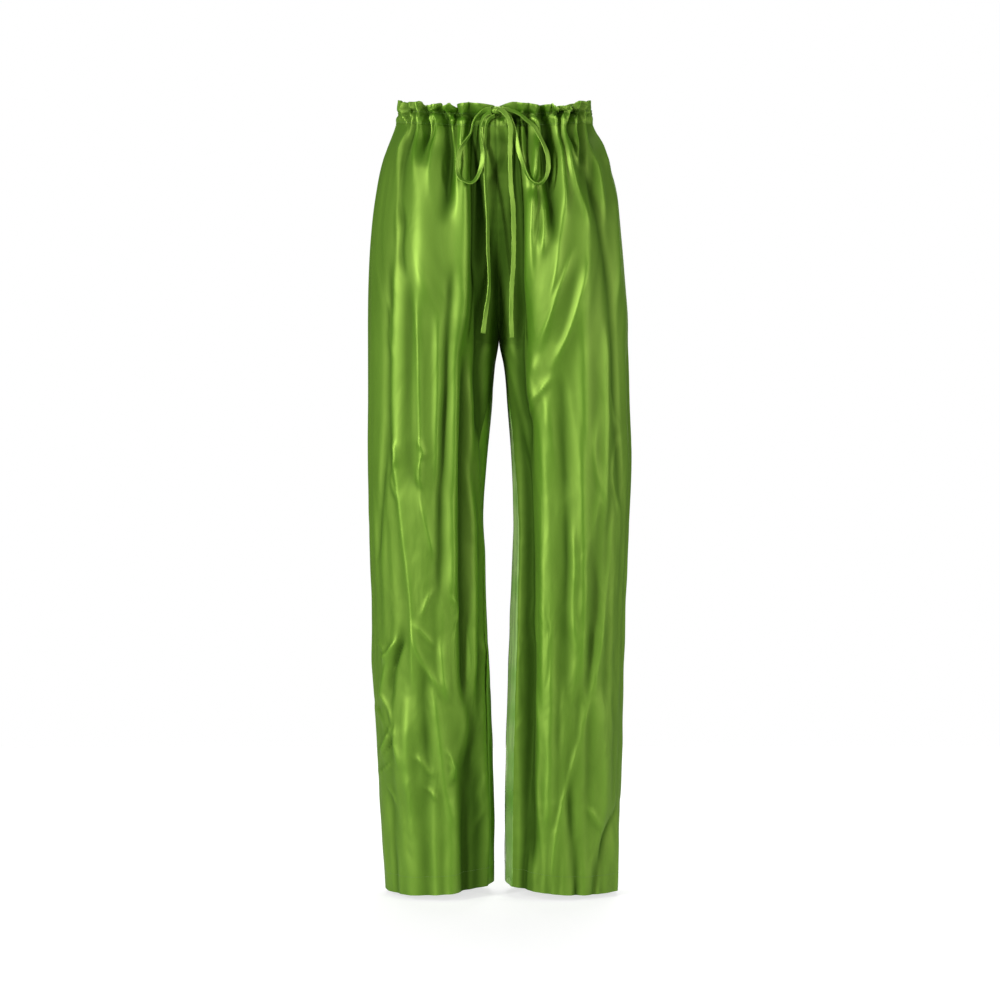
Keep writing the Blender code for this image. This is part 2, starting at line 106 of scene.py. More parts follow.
# The front's gathers, one row for each ridge, or each trough where height is negative. x is where it lies
# in the frill, at its neck, in the drawstring channel, a little below it and at its foot. left and right are
# its flanks' widths, height and frill how far it stands below and above the channel.
GATHER_COLUMNS = (
    "x_frill", "x_neck", "x_channel", "x_below", "x_foot", "z_foot", "left", "right", "height",
    "frill", "sharp",
)
GATHER_ROWS = {
    "left": (
        (-126.3, -127.6, -121, -130.3, -135.6, -110, 3.3, 3.3, 5.6, 8.5, 0.6),
        (-122.3, -121, -119.6, -123.6, -139.6, -209, 4.7, 5.3, -6.3, -5.1, 0.2),
        (-115.6, -117, -117, -124.9, -126.3, -66, 2.7, 2.7, 4.2, 6.8, 0.6),
        (-111.7, -110.3, -113, -118.3, -121, -73, 3.3, 3.3, -4.9, -3.4, 0.2),
        (-106.3, -105, -105, -107.7, -111.7, -116, 5.3, 4, 6.3, 8.5, 0.4),
        (-98.4, -97, -94.4, -97, -95.7, -74, 5.3, 4.7, -9.8, -10.2, 0),
        (-91.7, -91.7, -87.7, -93, -99.7, -77, 2.4, 2.7, 4.9, 3.4, 0.7),
        (-86.4, -85.1, -84.4, -89.7, -94.4, -79, 2.1, 2.1, -4.2, -3.4, 0),
        (-83.7, -85.1, -79.8, -86.4, -90.4, -136, 5.3, 4, 7, 10.2, 0.4),
        (-75.8, -73.1, -67.8, -66.5, -67.8, -163, 8, 6.7, -12.6, -8.5, 0),
        (-69.1, -69.1, -67.8, -66.5, -65.1, -79, 3.3, 3.3, 0.7, 10.2, 0.4),
        (-57.2, -61.1, -62.5, -59.2, -55.8, -163, 3.3, 4, 6.3, -5.1, 0.5),
        (-54.5, -55.8, -58.5, -54.5, -49.2, -123, 2.7, 3.3, -5.6, -5.1, 0.1),
        (-43.9, -46.5, -47.9, -50.5, -46.5, -79, 5.3, 5.3, 7, 6.8, 0.2),
        (-38.5, -37.2, -37.2, -35.9, -35.9, -263, 5.3, 9.3, -12.6, -5.1, 0),
        (-27.9, -26.6, -25.3, -25.3, -25.3, -79, 14.6, 14.6, 0.7, 10.2, 0),
    ),
    "right": (
        (26.6, 26.6, 27.9, 27.9, 27.9, -79, 14.6, 16, 0.7, 10.2, 0),
        (22.6, 23.9, 23.9, 22.6, 26.6, -289, 5.3, 5.3, -9.8, -3.4, 0),
        (30.6, 29.2, 29.2, 29.2, 33.2, -87, 3.3, 3.3, 5.6, 1.7, 0.5),
        (35.9, 35.9, 37.2, 38.5, 35.9, -163, 4, 4, -7, -3.4, 0),
        (45.2, 46.5, 51.8, 49.2, 41.2, -203, 5.3, 3.3, 8.4, 6.8, 0.3),
        (55.8, 58.5, 63.8, 65.1, 63.8, -176, 8, 9.3, -14, -8.5, 0),
        (62.5, 63.8, 65.1, 65.1, 65.1, -79, 3.3, 3.3, 0.7, 10.2, 0.3),
        (71.8, 71.8, 75.1, 80.4, 86.4, -136, 4, 2.7, 7, 8.5, 0.5),
        (81.1, 79.8, 79.8, 83.7, 90.4, -110, 2.7, 2.7, -5.6, -10.2, 0),
        (85.1, 83.7, 83.1, 88.4, 107.7, -127, 4, 3.3, 7, 5.1, 0.5),
        (93, 90.4, 87.7, 95, 110.3, -79, 2.7, 2.7, 4.9, 8.5, 0.6),
        (97, 97, 90.4, 98.4, 107.7, -85, 3.3, 3.3, -7, -10.2, 0),
        (103.7, 101, 100.4, 103.7, 105.7, -79, 2.7, 2.7, 5.6, 8.5, 0.6),
        (109, 107.7, 106.3, 109, 107.7, -110, 4, 4, -7, -5.1, 0),
        (115.6, 113, 113, 121, 140.9, -154, 4, 4, 5.6, 6.8, 0.5),
        (118.3, 117, 118.3, 122.3, 122.3, -176, 4, 5.3, -6.3, -3.4, 0),
        (121, 121, 123.6, 135.6, 148.9, -82, 2.7, 2.7, 4.2, 5.1, 0.6),
    ),
}
GATHERS = {leg: [dict(zip(GATHER_COLUMNS, row)) for row in rows] for leg, rows in GATHER_ROWS.items()}
GATHER_LEVELS = (18.0, 6.0, -15.0, -43.0)

# The back's gathers: how far round each ridge lies from the centre seam at 0 to the side seam at 1, how
# high it stands, and how far down it runs.
BACK_GATHER_ROWS = {
    "left": (
        (0.0, 3.0, 60), (0.11, 6.2, 120), (0.20, 5.2, 60), (0.31, 7.0, 150), (0.40, 5.4, 70),
        (0.50, 6.4, 110), (0.59, 5.0, 55), (0.69, 6.4, 140), (0.79, 5.0, 60), (0.90, 4.6, 70),
        (1.0, 3.2, 50),
    ),
    "right": (
        (0.0, 3.0, 60), (0.10, 5.6, 80), (0.21, 6.6, 140), (0.30, 5.0, 60), (0.41, 6.4, 120),
        (0.51, 5.6, 65), (0.61, 6.8, 150), (0.70, 5.0, 60), (0.80, 6.0, 100), (0.90, 4.6, 60),
        (1.0, 3.2, 50),
    ),
}
BACK_GATHERS = {leg: np.array(rows).T for leg, rows in BACK_GATHER_ROWS.items()}

# Creases, folds and drag lines. Each runs from z_top to z_foot through four places across, x1 to x4.
# left and right are how far its flanks spread, height is positive for a ridge and negative for a trough,
# and sharp is 0 for a soft swell and 1 for a pressed crease.
CREASE_COLUMNS = ("z_top", "z_foot", "x1", "x2", "x3", "x4", "left", "right", "height", "sharp")
CREASE_ROWS = {
    ("front", "left"): (
        (-18, -183, -122, -130, -134, -134, 4, 6, 4.1, 0.7),
        (-183, -489, -134, -139, -141, -137, 5, 7, 3.8, 0.6),
        (-449, -768, -139, -128, -117, -116, 4, 6, 3.7, 0.7),
        (-209, -489, -144, -145, -147, -145, 6, 6, -4.5, 0),
        (-423, -605, -151, -155, -160, -165, 3, 5, -4.6, 0.7),
        (-30, -263, -100, -104, -105, -105, 17, 17, 6.8, 0),
        (-216, -502, -117, -120, -121, -118, 8, 7, -4.5, 0),
        (-249, -508, -109, -106, -105, -104, 4, 5, 4, 0.5),
        (-508, -594, -105, -100, -93, -85, 4, 9, 3.5, 0.8),
        (-276, -502, -81, -81, -82, -81, 5, 6, 3.6, 0.2),
        (-209, -654, -61, -68, -76, -78, 7, 8, -6.1, 0.1),
        (-276, -661, -58, -59, -61, -62, 6, 7, 4.5, 0.2),
        (-316, -788, -43, -47, -46, -44, 7, 7, -9.2, 0.2),
        (-356, -780, -32, -33, -32, -35, 6, 6, 6.1, 0.1),
        (-349, -575, -23, -23, -21, -19, 4, 4, -4.3, 0.3),
        (-63, -309, -41, -39, -44, -52, 14, 6, 8.8, 0.3),
        (-10, -229, -28, -28, -29, -33, 8, 9, -8.2, 0),
        (-17, -140, -68, -66, -68, -70, 9, 8, -6, 0),
        (-685, -780, -116, -109, -91, -70, 4, 8, 4, 0.8),
        (-701, -778, -78, -77, -74, -69, 4, 5, 3.4, 0.4),
        (-691, -786, -129, -137, -143, -145, 4, 5, -4.1, 0.3),
        (-700, -787, -139, -147, -154, -159, 6, 4, 3.8, 0.5),
        (-796, -828, -162, -158, -151, -141, 4, 5, 3.4, 0.6),
        (-823, -870, -143, -148, -154, -159, 4, 5, 3.4, 0.6),
        (-788, -927, -121, -124, -125, -118, 16, 15, 6.3, 0),
        (-856, -884, -109, -101, -94, -89, 4, 6, 3.1, 0.6),
        (-762, -945, -88, -81, -74, -65, 6, 10, 4.5, 0.5),
        (-863, -892, -66, -61, -60, -65, 4, 4, 3.1, 0.4),
        (-835, -1048, -41, -44, -44, -43, 11, 11, -9.6, 0),
        (-774, -1026, -28, -25, -19, -20, 5, 6, 3.6, 0.2),
        (-913, -1046, -62, -62, -61, -61, 10, 10, 4.8, 0),
        (-727, -873, -100, -101, -100, -94, 8, 8, -3.9, 0),
        (-897, -1049, -148, -144, -143, -141, 7, 8, -5.1, 0),
        (-900, -1046, -98, -100, -98, -98, 9, 9, -4.2, 0),
        (-705, -730, -165, -157, -152, -151, 2, 4, 3, 0.5),
        (-702, -736, -137, -144, -151, -155, 2, 4, 3.6, 0.6),
        (-702, -740, -128, -133, -138, -141, 2, 3, -3, 0.5),
        (-771, -815, -161, -153, -146, -143, 2, 3, 3.2, 0.7),
        (-791, -830, -165, -158, -152, -145, 2, 3, -2.8, 0.7),
        (-820, -860, -144, -149, -154, -159, 2, 3, 3, 0.7),
        (-829, -865, -137, -143, -151, -158, 2, 2, -2.6, 0.6),
        (-866, -890, -141, -148, -156, -162, 2, 3, 2.6, 0.6),
        (-899, -924, -150, -146, -141, -140, 2, 3, 2.6, 0.6),
        (-819, -875, -137, -138, -134, -130, 3, 8, 3.4, 0.4),
        (-897, -916, -100, -91, -87, -84, 2, 3, 2.5, 0.5),
        (-849, -887, -70, -63, -61, -66, 3, 3, 2.8, 0.5),
        (-632, -669, -88, -94, -99, -104, 2, 3, 2.5, 0.5),
        (-644, -680, -65, -56, -54, -57, 2, 4, 2.8, 0.5),
        (-677, -707, -112, -105, -96, -88, 3, 4, 2.6, 0.4),
        (-701, -767, -25, -20, -17, -13, 3, 3, 2.8, 0.5),
        (-886, -953, -23, -26, -24, -28, 3, 3, 2.8, 0.5),
        (-249, -324, -148, -144, -145, -141, 3, 4, 2.7, 0.3),
        (-116, -216, -129, -125, -128, -124, 4, 4, -3.3, 0),
        (-433, -462, -108, -103, -100, -104, 3, 4, 2.8, 0.5),
        (-462, -496, -104, -108, -108, -105, 3, 4, 2.8, 0.5),
        (-436, -473, -141, -137, -136, -140, 3, 4, 2.8, 0.5),
        (-473, -513, -140, -143, -140, -134, 3, 4, 2.8, 0.5),
        (-230, -440, -26, -24, -27, -32, 8, 7, -9.0, 0),
    ),
    ("front", "right"): (
        (-768, -980, 49, 54, 51, 56, 4, 5, 2.5, 0.2),
        (-541, -714, 94, 99, 96, 101, 6, 6, 3.3, 0),
        (-396, -555, 132, 126, 132, 125, 4, 6, 3, 0.3),
        (-90, -309, 28, 29, 28, 25, 5, 5, -4.8, 0),
        (-50, -256, 36, 37, 37, 36, 4, 4, 4.2, 0.4),
        (-7, -229, 49, 46, 44, 44, 6, 4, 4.6, 0.3),
        (-96, -176, 52, 53, 52, 49, 4, 5, -3.9, 0),
        (0, -163, 68, 69, 71, 73, 9, 8, -12, 0),
        (-8, -137, 76, 81, 85, 88, 4, 5, 4.5, 0.5),
        (-20, -150, 84, 93, 105, 116, 4, 6, 4, 0.5),
        (-26, -70, 89, 94, 101, 109, 3, 4, 3.2, 0.5),
        (-21, -59, 101, 102, 103, 105, 3, 4, 3.2, 0.5),
        (-39, -143, 120, 131, 136, 141, 4, 5, 4.2, 0.4),
        (-17, -73, 125, 133, 141, 148, 4, 4, 3.1, 0.4),
        (-110, -190, 62, 61, 60, 57, 5, 5, 4.2, 0.2),
        (-97, -256, 84, 81, 76, 66, 5, 7, 4.5, 0.2),
        (-50, -410, 110, 138, 152, 156, 9, 4, -5.2, 0.5),
        (-410, -524, 156, 159, 162, 163, 6, 3, -4.5, 0.5),
        (-82, -256, 151, 154, 157, 158, 6, 6, 4.8, 0),
        (-103, -302, 112, 114, 113, 110, 11, 11, 5.4, 0),
        (-180, -318, 97, 82, 67, 51, 4, 7, 4.6, 0.6),
        (-194, -338, 116, 105, 92, 70, 4, 7, 4.6, 0.6),
        (-350, -405, 68, 56, 43, 33, 4, 5, 3.2, 0.5),
        (-322, -388, 47, 45, 44, 44, 8, 8, 4.5, 0),
        (-376, -960, 62, 62, 64, 65, 9, 11, 5.1, 0),
        (-382, -682, 36, 37, 40, 41, 8, 8, -6.6, 0),
        (-675, -1008, 40, 41, 42, 43, 9, 9, -9.3, 0),
        (-336, -521, 82, 84, 85, 86, 11, 10, -5.1, 0),
        (-515, -787, 88, 89, 88, 89, 8, 8, -4.8, 0),
        (-283, -781, 113, 112, 112, 108, 10, 10, 5.4, 0),
        (-283, -549, 143, 143, 141, 140, 7, 6, 4.8, 0),
        (-523, -824, 150, 144, 133, 110, 3, 7, 2.9, 0.8),
        (-824, -1033, 110, 91, 76, 68, 3, 7, 2.9, 0.8),
        (-575, -807, 126, 129, 119, 105, 9, 8, -3.9, 0),
        (-775, -962, 137, 138, 140, 140, 14, 14, 6.3, 0),
        (-925, -1045, 161, 145, 135, 130, 7, 5, -6, 0.4),
        (-964, -1048, 155, 155, 155, 154, 6, 5, 4.5, 0.2),
        (-927, -958, 120, 125, 130, 136, 3, 5, 3, 0.5),
        (-367, -426, 150, 152, 155, 159, 3, 4, 1.7, 0.4),
        (-431, -482, 159, 156, 152, 150, 3, 4, 1.8, 0.4),
        (-476, -536, 150, 152, 157, 159, 3, 4, 1.8, 0.4),
        (-886, -1043, 94, 97, 101, 104, 7, 8, -5.7, 0),
        (-230, -440, 25, 24, 27, 33, 7, 8, -9.0, 0),
    ),
    ("back", "left"): (
        (-60, -330, -140, -146, -148, -142, 8, 7, -4.0, 0.2),
        (-330, -760, -142, -138, -132, -128, 7, 8, 3.6, 0.4),
        (-90, -520, -104, -110, -112, -108, 14, 15, 4.6, 0),
        (-520, -1046, -108, -114, -112, -106, 12, 14, 3.8, 0.1),
        (-40, -300, -70, -76, -78, -74, 9, 9, -5.0, 0),
        (-300, -640, -74, -70, -66, -68, 8, 8, -4.6, 0.1),
        (-30, -220, -88, -92, -94, -92, 4, 6, 3.2, 0.5),
        (-60, -330, -38, -42, -48, -52, 12, 8, 5.0, 0.2),
        (-150, -300, -20, -30, -44, -62, 5, 9, 3.8, 0.6),
        (-220, -350, -26, -40, -58, -78, 5, 8, 3.2, 0.6),
        (-420, -900, -34, -36, -38, -36, 7, 7, -4.6, 0),
        (-520, -1046, -76, -70, -62, -58, 12, 12, 4.6, 0.1),
        (-480, -640, -150, -142, -132, -126, 4, 8, 3.4, 0.7),
        (-600, -700, -96, -88, -82, -70, 4, 7, 3.0, 0.7),
        (-640, -760, -120, -128, -138, -148, 6, 4, 3.0, 0.6),
        (-700, -1046, -140, -136, -130, -126, 7, 9, -3.6, 0.1),
        (-760, -1046, -92, -90, -86, -84, 8, 8, -3.4, 0),
        (-840, -1000, -52, -58, -64, -66, 4, 6, 2.8, 0.5),
    ),
    ("back", "right"): (
        (-60, -340, 128, 136, 142, 140, 7, 8, -4.2, 0.2),
        (-340, -800, 140, 136, 130, 122, 8, 6, 3.8, 0.5),
        (-90, -500, 100, 106, 108, 104, 15, 14, 4.4, 0),
        (-500, -1046, 104, 108, 106, 100, 13, 12, 3.6, 0.1),
        (-40, -290, 66, 72, 74, 72, 9, 9, -5.0, 0),
        (-290, -620, 72, 66, 64, 66, 8, 8, -4.4, 0),
        (-26, -200, 84, 90, 92, 90, 6, 4, 3.2, 0.5),
        (-60, -320, 36, 40, 46, 50, 8, 12, 5.0, 0.2),
        (-160, -310, 22, 32, 48, 66, 9, 5, 3.6, 0.6),
        (-240, -360, 28, 42, 56, 72, 8, 5, 3.0, 0.6),
        (-430, -930, 34, 34, 36, 34, 7, 7, -4.4, 0),
        (-540, -1046, 70, 66, 60, 58, 12, 12, 4.6, 0.1),
        (-500, -650, 150, 140, 130, 120, 8, 4, 3.2, 0.7),
        (-640, -740, 92, 84, 74, 66, 7, 4, 3.0, 0.6),
        (-680, -1046, 134, 132, 126, 122, 9, 7, -3.8, 0.1),
        (-780, -1046, 90, 88, 84, 82, 8, 8, -3.2, 0),
        (-820, -980, 146, 140, 134, 130, 4, 7, 3.0, 0.6),
        (-880, -1020, 50, 54, 60, 64, 4, 6, 2.6, 0.5),
    ),
}
CREASES = {
    panel: [dict(zip(CREASE_COLUMNS, row)) for row in rows] for panel, rows in CREASE_ROWS.items()
}

# Folds near the sides: top, foot, how far round at the top and at the foot, spread, height.
SIDE_FOLD_ROWS = {
    "left": (
        (-50, -420, 0.90, 0.95, 9, -2.0), (-180, -780, 1.13, 1.07, 12, 3.6),
        (-90, -520, 1.22, 1.17, 10, -4.2), (-460, -1046, 1.16, 1.20, 12, -4.0),
        (-560, -900, 0.94, 0.98, 8, -1.8), (-700, -1046, 1.06, 1.09, 9, 2.4),
    ),
    "right": (
        (-40, -360, 1.11, 1.06, 9, -3.8), (-240, -860, 1.17, 1.10, 12, 4.0),
        (-420, -980, 1.22, 1.18, 11, -4.0), (-300, -700, 0.93, 0.96, 9, -1.8),
        (-640, -1046, 1.06, 1.10, 9, -2.8), (-800, -1046, 0.94, 0.92, 10, 1.6),
    ),
}

# How the cloth lies at the seams: a groove along each, a ridge along the inseam and a ledge beside it.
SEAM_GROOVE = {"depth": 0.8, "spread": 1.6}
INSEAM_RIDGE = {"left": 2.4, "right": 4.2}
INSEAM_LEDGE = {"left": 2.0, "right": 6.0}
# Where the right loop's foot presses the cloth in: x, z and how deep.
LOOP_PRESS = (46.0, -96.0, 8.5)
# Between the thighs the cloth lies hollow: how wide on each side of the centre, and by what share.
CENTRE_HOLLOW = {"left": 38.0, "right": 35.0, "share": 0.17}
SIDE_OF = {"left": -1.0, "right": 1.0}
# The cloth round half a leg, for folds that are set by how far round they lie.
HALF_GIRTH = 250.0


def smooth_step(value):
    value = np.clip(value, 0.0, 1.0)
    return value * value * (3.0 - 2.0 * value)


def through(levels, values, z):
    """The smooth curve through values at falling levels, read at z and held level past its ends."""
    at, y = -np.asarray(levels, float), np.asarray(values, float)
    slope = np.gradient(y, at)
    z = np.clip(-np.asarray(z, float), at[0], at[-1])
    row = np.clip(np.searchsorted(at, z, side="right") - 1, 0, len(at) - 2)
    step = at[row + 1] - at[row]
    s = (z - at[row]) / step
    return (
        (1 + 2 * s) * (1 - s) ** 2 * y[row]
        + s * (1 - s) ** 2 * step * slope[row]
        + s * s * (3 - 2 * s) * y[row + 1]
        + s * s * (s - 1) * step * slope[row + 1]
    )


def outline(column, z):
    return through(OUTLINE["z"], OUTLINE[column], z)


def inner_side(leg, z):
    away = np.where(np.asarray(z) < FORK, outline(leg + "_in", z), 0.0)
    return outline("centre", z) + away * SIDE_OF[leg]


def plain_cloth(leg, z, c):
    """The cloth with no folds. c runs round it: 0 at the centre front, 1 at the side and 2 at the back."""
    outside, inside = outline(leg + "_out", z), inner_side(leg, z)
    turn = np.radians(outline(leg + "_turn", z))
    back = c > 1.0
    across = np.where(back, 2.0 - c, c)
    # below the fork each leg is a ring of its own, and above it the two share one ring round the hips
    round_leg = np.where(back, (np.pi + turn) * across - turn, turn + (np.pi - turn) * across)
    leg_share = (1.0 - np.cos(round_leg)) / 2.0
    hip_share = np.sin(across * np.pi / 2.0)
    opened = smooth_step((-150.0 - z) / (-150.0 - FORK))
    share = (1.0 - opened) * hip_share + opened * leg_share
    fall = np.clip((-20.0 - z) / (-20.0 - FORK), 0.0, 1.0)
    hollow = np.where(back, 0.10, 0.26) * smooth_step((-10.0 - z) / 110.0)
    steep = np.where(back, 5.0, 4.0)
    openness = (1.0 - hollow) * np.sqrt(np.clip(1.0 - fall**steep, 0.0, 1.0))
    soften = share / (share + 0.10 * openness**2 + 1e-9)
    rounded = 4.0 * share * (1.0 - share) * soften
    lobes = np.sqrt(np.clip(rounded + (openness * (1.0 - share)) ** 2, 0.0, None))
    barrel = np.sqrt(np.clip(1.0 - share**2, 0.0, 1.0))
    lobed = smooth_step((-10.0 - z) / 230.0)
    depth = (1.0 - lobed) * barrel + lobed * lobes
    reach = np.where(back & (round_leg >= 0.0), outline("back", z), -outline("front", z))
    return inside + (outside - inside) * share, reach * depth


def crease_path(crease, down):
    """Where a crease lies at each share of the way down it, on a smooth curve through its four places."""
    return through((0.0, -1 / 3, -2 / 3, -1.0), [crease[k] for k in ("x1", "x2", "x3", "x4")], -down)


def face_share(face, z, c):
    """1 over one face's panels, fading out just past the side seam and the inseam."""
    across = c if face == "front" else 2.0 - c
    past_side = 1.0 - smooth_step((across - 1.0) / 0.3)
    past_inseam = smooth_step((across - 1.7) / 0.3) * (z < FORK)
    return past_side + past_inseam


def fold_profile(fold, away, widen=1.0):
    """A fold's height across it, from 0 to 1: a soft swell or a pressed crease, or a mix of the two."""
    spread = np.where(away < 0.0, fold["left"], fold["right"]) * widen
    soft = np.exp(-((away / spread) ** 2))
    pressed = np.exp(0.2 - np.sqrt((away / spread) ** 2 + 0.04))
    return (1.0 - fold["sharp"]) * soft + fold["sharp"] * pressed


def crease_height(leg, z, c, x):
    total = np.zeros_like(x)
    for face in ("front", "back"):
        for crease in CREASES[face, leg]:
            length = crease["z_top"] - crease["z_foot"]
            run_out = min(60.0, 0.4 * length)
            down = np.clip((crease["z_top"] - z) / length, 0.0, 1.0)
            ends = smooth_step((crease["z_top"] + 0.3 * run_out - z) / run_out)
            if crease["z_foot"] > HEM_INSIDE:
                ends = ends * smooth_step((z - crease["z_foot"] + 0.3 * run_out) / run_out)
            profile = fold_profile(crease, x - crease_path(crease, down))
            total += crease["height"] * profile * ends * face_share(face, z, c)
    return total


def front_gathers(leg, z, c, x):
    total = np.zeros_like(x)
    for gather in GATHERS[leg]:
        path = [gather[k] for k in ("x_frill", "x_neck", "x_channel", "x_below", "x_foot")]
        away = x - through(GATHER_LEVELS + (gather["z_foot"],), path, z)
        down = np.clip((-15.0 - z) / (-15.0 - gather["z_foot"]), 0.0, 1.0)
        tall = gather["height"] * (1.0 - smooth_step(down))
        tall = tall + (gather["frill"] - gather["height"]) * smooth_step((z + 6.0) / 14.0)
        total += tall * fold_profile(gather, away, 1.0 + 0.5 * down)
    return total * face_share("front", z, c)


def back_gathers(leg, z, c):
    across = 2.0 - c
    places, heights, reaches = BACK_GATHERS[leg]
    turn = np.interp(across, places, np.arange(len(places)))
    height = np.interp(turn, np.arange(len(places)), heights)
    reach = np.interp(turn, np.arange(len(places)), reaches)
    lean = 0.0 if leg == "left" else 2.3
    above = smooth_step((z - CASING_FOOT) / 10.0)
    wave = np.cos(2 * np.pi * (turn + 0.16 * np.sin(turn * 2.4 + lean) * above))
    peaked = (np.exp(0.9 * wave) - 1.21) / 1.1
    below = np.clip((-22.0 - z) / reach, 0.0, None)
    ends = smooth_step(across / 0.05) * smooth_step((1.0 - across) / 0.12)
    return np.where(c > 1.0, height * np.exp(-(below**1.5)) * peaked * (0.8 + 0.2 * above) * ends, 0.0)


def side_folds(leg, z, c):
    """Long soft folds beside the side seams, set by how far round the cloth they lie."""
    total = np.zeros_like(z)
    for z_top, z_foot, c_top, c_foot, spread, height in SIDE_FOLD_ROWS[leg]:
        down = np.clip((z_top - z) / (z_top - z_foot), 0.0, 1.0)
        away = (c - c_top - (c_foot - c_top) * smooth_step(down)) * HALF_GIRTH / spread
        ends = smooth_step((z_top + 20.0 - z) / 70.0)
        if z_foot > HEM_INSIDE:
            ends = ends * smooth_step((z - z_foot + 20.0) / 70.0)
        total += height * np.exp(-(away**2)) * ends
    return total


def crumple(leg, z, c, x):
    """Slight unevenness all over, longer down the leg than across it."""
    drift = 0.0 if leg == "left" else 37.0
    seed = np.random.default_rng(11 if leg == "left" else 29)
    total = np.zeros_like(x)
    girth = c * HALF_GIRTH
    for _ in range(14):
        across, along = seed.uniform(16.0, 60.0), seed.uniform(300.0, 1100.0) * seed.choice((-1.0, 1.0))
        tall = seed.uniform(0.5, 1.0)
        waves = girth / across + (z + drift) / along
        total += tall * np.sin(2 * np.pi * waves + seed.uniform(0, 6.3))
    knees = smooth_step((-430.0 - z) / 150.0)
    for _ in range(8):
        across, along = seed.uniform(26.0, 70.0), seed.uniform(40.0, 120.0) * seed.choice((-1.0, 1.0))
        waves = girth / across + z / along
        total += 0.3 * knees * np.sin(2 * np.pi * waves + seed.uniform(0, 6.3))
    lower = 0.35 + 0.65 * smooth_step((-250.0 - z) / 300.0)
    return 0.24 * total * lower * smooth_step((-30.0 - z) / 60.0)


def seam_lie(leg, z, c, girth):
    """How far the cloth stands out at its seams: a groove along each, and a ridge along the inseam."""
    push = np.zeros_like(z)
    for seam in (0.0, 1.0, 2.0):
        away = (c - seam) * girth / SEAM_GROOVE["spread"]
        pucker = 1.0 + 0.35 * np.sin(z / 2.9) * np.sin(z / 11.0 + seam)
        push = push - SEAM_GROOVE["depth"] * np.exp(-(away**2)) * pucker
    inseam = np.minimum(c, 2.0 - c) * girth
    sunk_beside = np.where(c < 1.0, 1.1, 0.3) * np.exp(-(((inseam - 17.0) / 8.0) ** 2))
    ridge = np.exp(-inseam / 9.0) - sunk_beside
    return push + INSEAM_RIDGE[leg] * ridge * smooth_step((FORK - 50.0 - z) / 130.0)


def thigh_hollow(leg, z, c, x):
    """The share by which the front lies hollow between the thighs, which ends soon below the fork."""
    flank = np.abs(x - 1.5 * SIDE_OF[leg]) / CENTRE_HOLLOW[leg]
    deepest = CENTRE_HOLLOW["share"] * (0.5 + np.clip((-20.0 - z) / 285.0, 0.0, 1.0))
    sunk = deepest / (1.0 + flank**9) * smooth_step((-30.0 - z) / 50.0)
    past_fork = np.exp(-np.clip(FORK - z, 0.0, None) / 25.0)
    return np.where(c < 1.0, sunk * past_fork, 0.0)


def cloth(leg, z, c):
    """A point of the cloth's outer face, in millimetres."""
    z, c = np.broadcast_arrays(np.asarray(z, float), np.asarray(c, float))
    x, y = plain_cloth(leg, z, c)
    small = 1e-4
    x_low, y_low = plain_cloth(leg, z, np.clip(c - small, 0.0, 2.0))
    x_high, y_high = plain_cloth(leg, z, np.clip(c + small, 0.0, 2.0))
    along = np.hypot(x_high - x_low, y_high - y_low) + 1e-12
    side = SIDE_OF[leg]
    out_x, out_y = side * (y_high - y_low) / along, -side * (x_high - x_low) / along
    # folds fade out at the centre seam above the fork, and less at the inseam below it
    fade = np.where(z > -200.0, 0.04, 0.12 - 0.08 * smooth_step((z + 280.0) / 80.0))
    at_seam = smooth_step(np.minimum(c, 2.0 - c) / fade)
    held = np.where(z > FORK, at_seam, smooth_step((FORK - z) / 60.0) * (1.0 - at_seam) + at_seam)
    creases = crease_height(leg, z, c, x) * smooth_step((CASING_FOOT - 3.0 - z) / 30.0)
    gathers = front_gathers(leg, z, c, x) + back_gathers(leg, z, c)
    push = (creases + gathers + side_folds(leg, z, c) + crumple(leg, z, c, x)) * held
    press_x, press_z, pressed_in = LOOP_PRESS
    pressed = np.exp(-(((x - press_x) / 11.0) ** 2) - ((z - press_z) / 14.0) ** 2)
    push = push - np.where(c < 1.0, pressed_in * pressed, 0.0)
    push = push + seam_lie(leg, z, c, along / (2 * small))
    y = y * (1.0 - thigh_hollow(leg, z, c, x))
    off_inside = np.abs(x - inner_side(leg, z)) / 5.0
    ledge = INSEAM_LEDGE[leg] * off_inside * np.exp(1.0 - off_inside)
    y = y - np.where(y < 0.0, ledge * smooth_step((FORK - 90.0 - z) / 160.0), 0.0)
    centre = outline("centre", z)
    clear = np.maximum(side * (x + out_x * push - centre), 0.7 * side * (x - centre))
    dip = np.where(c > 1.0, WAIST_DIP["back"], WAIST_DIP["front"]) * np.cos(np.pi * c / 2.0) ** 2
    lowered = z - dip * smooth_step((z - DIP_FADES_BY) / -DIP_FADES_BY)
    return np.stack([centre + side * clear, y + out_y * push, lowered], axis=-1)


def grid_normals(points):
    down, across = np.gradient(points, axis=0), np.gradient(points, axis=1)
    normals = np.cross(across, down)
    return normals / (np.linalg.norm(normals, axis=-1, keepdims=True) + 1e-12)


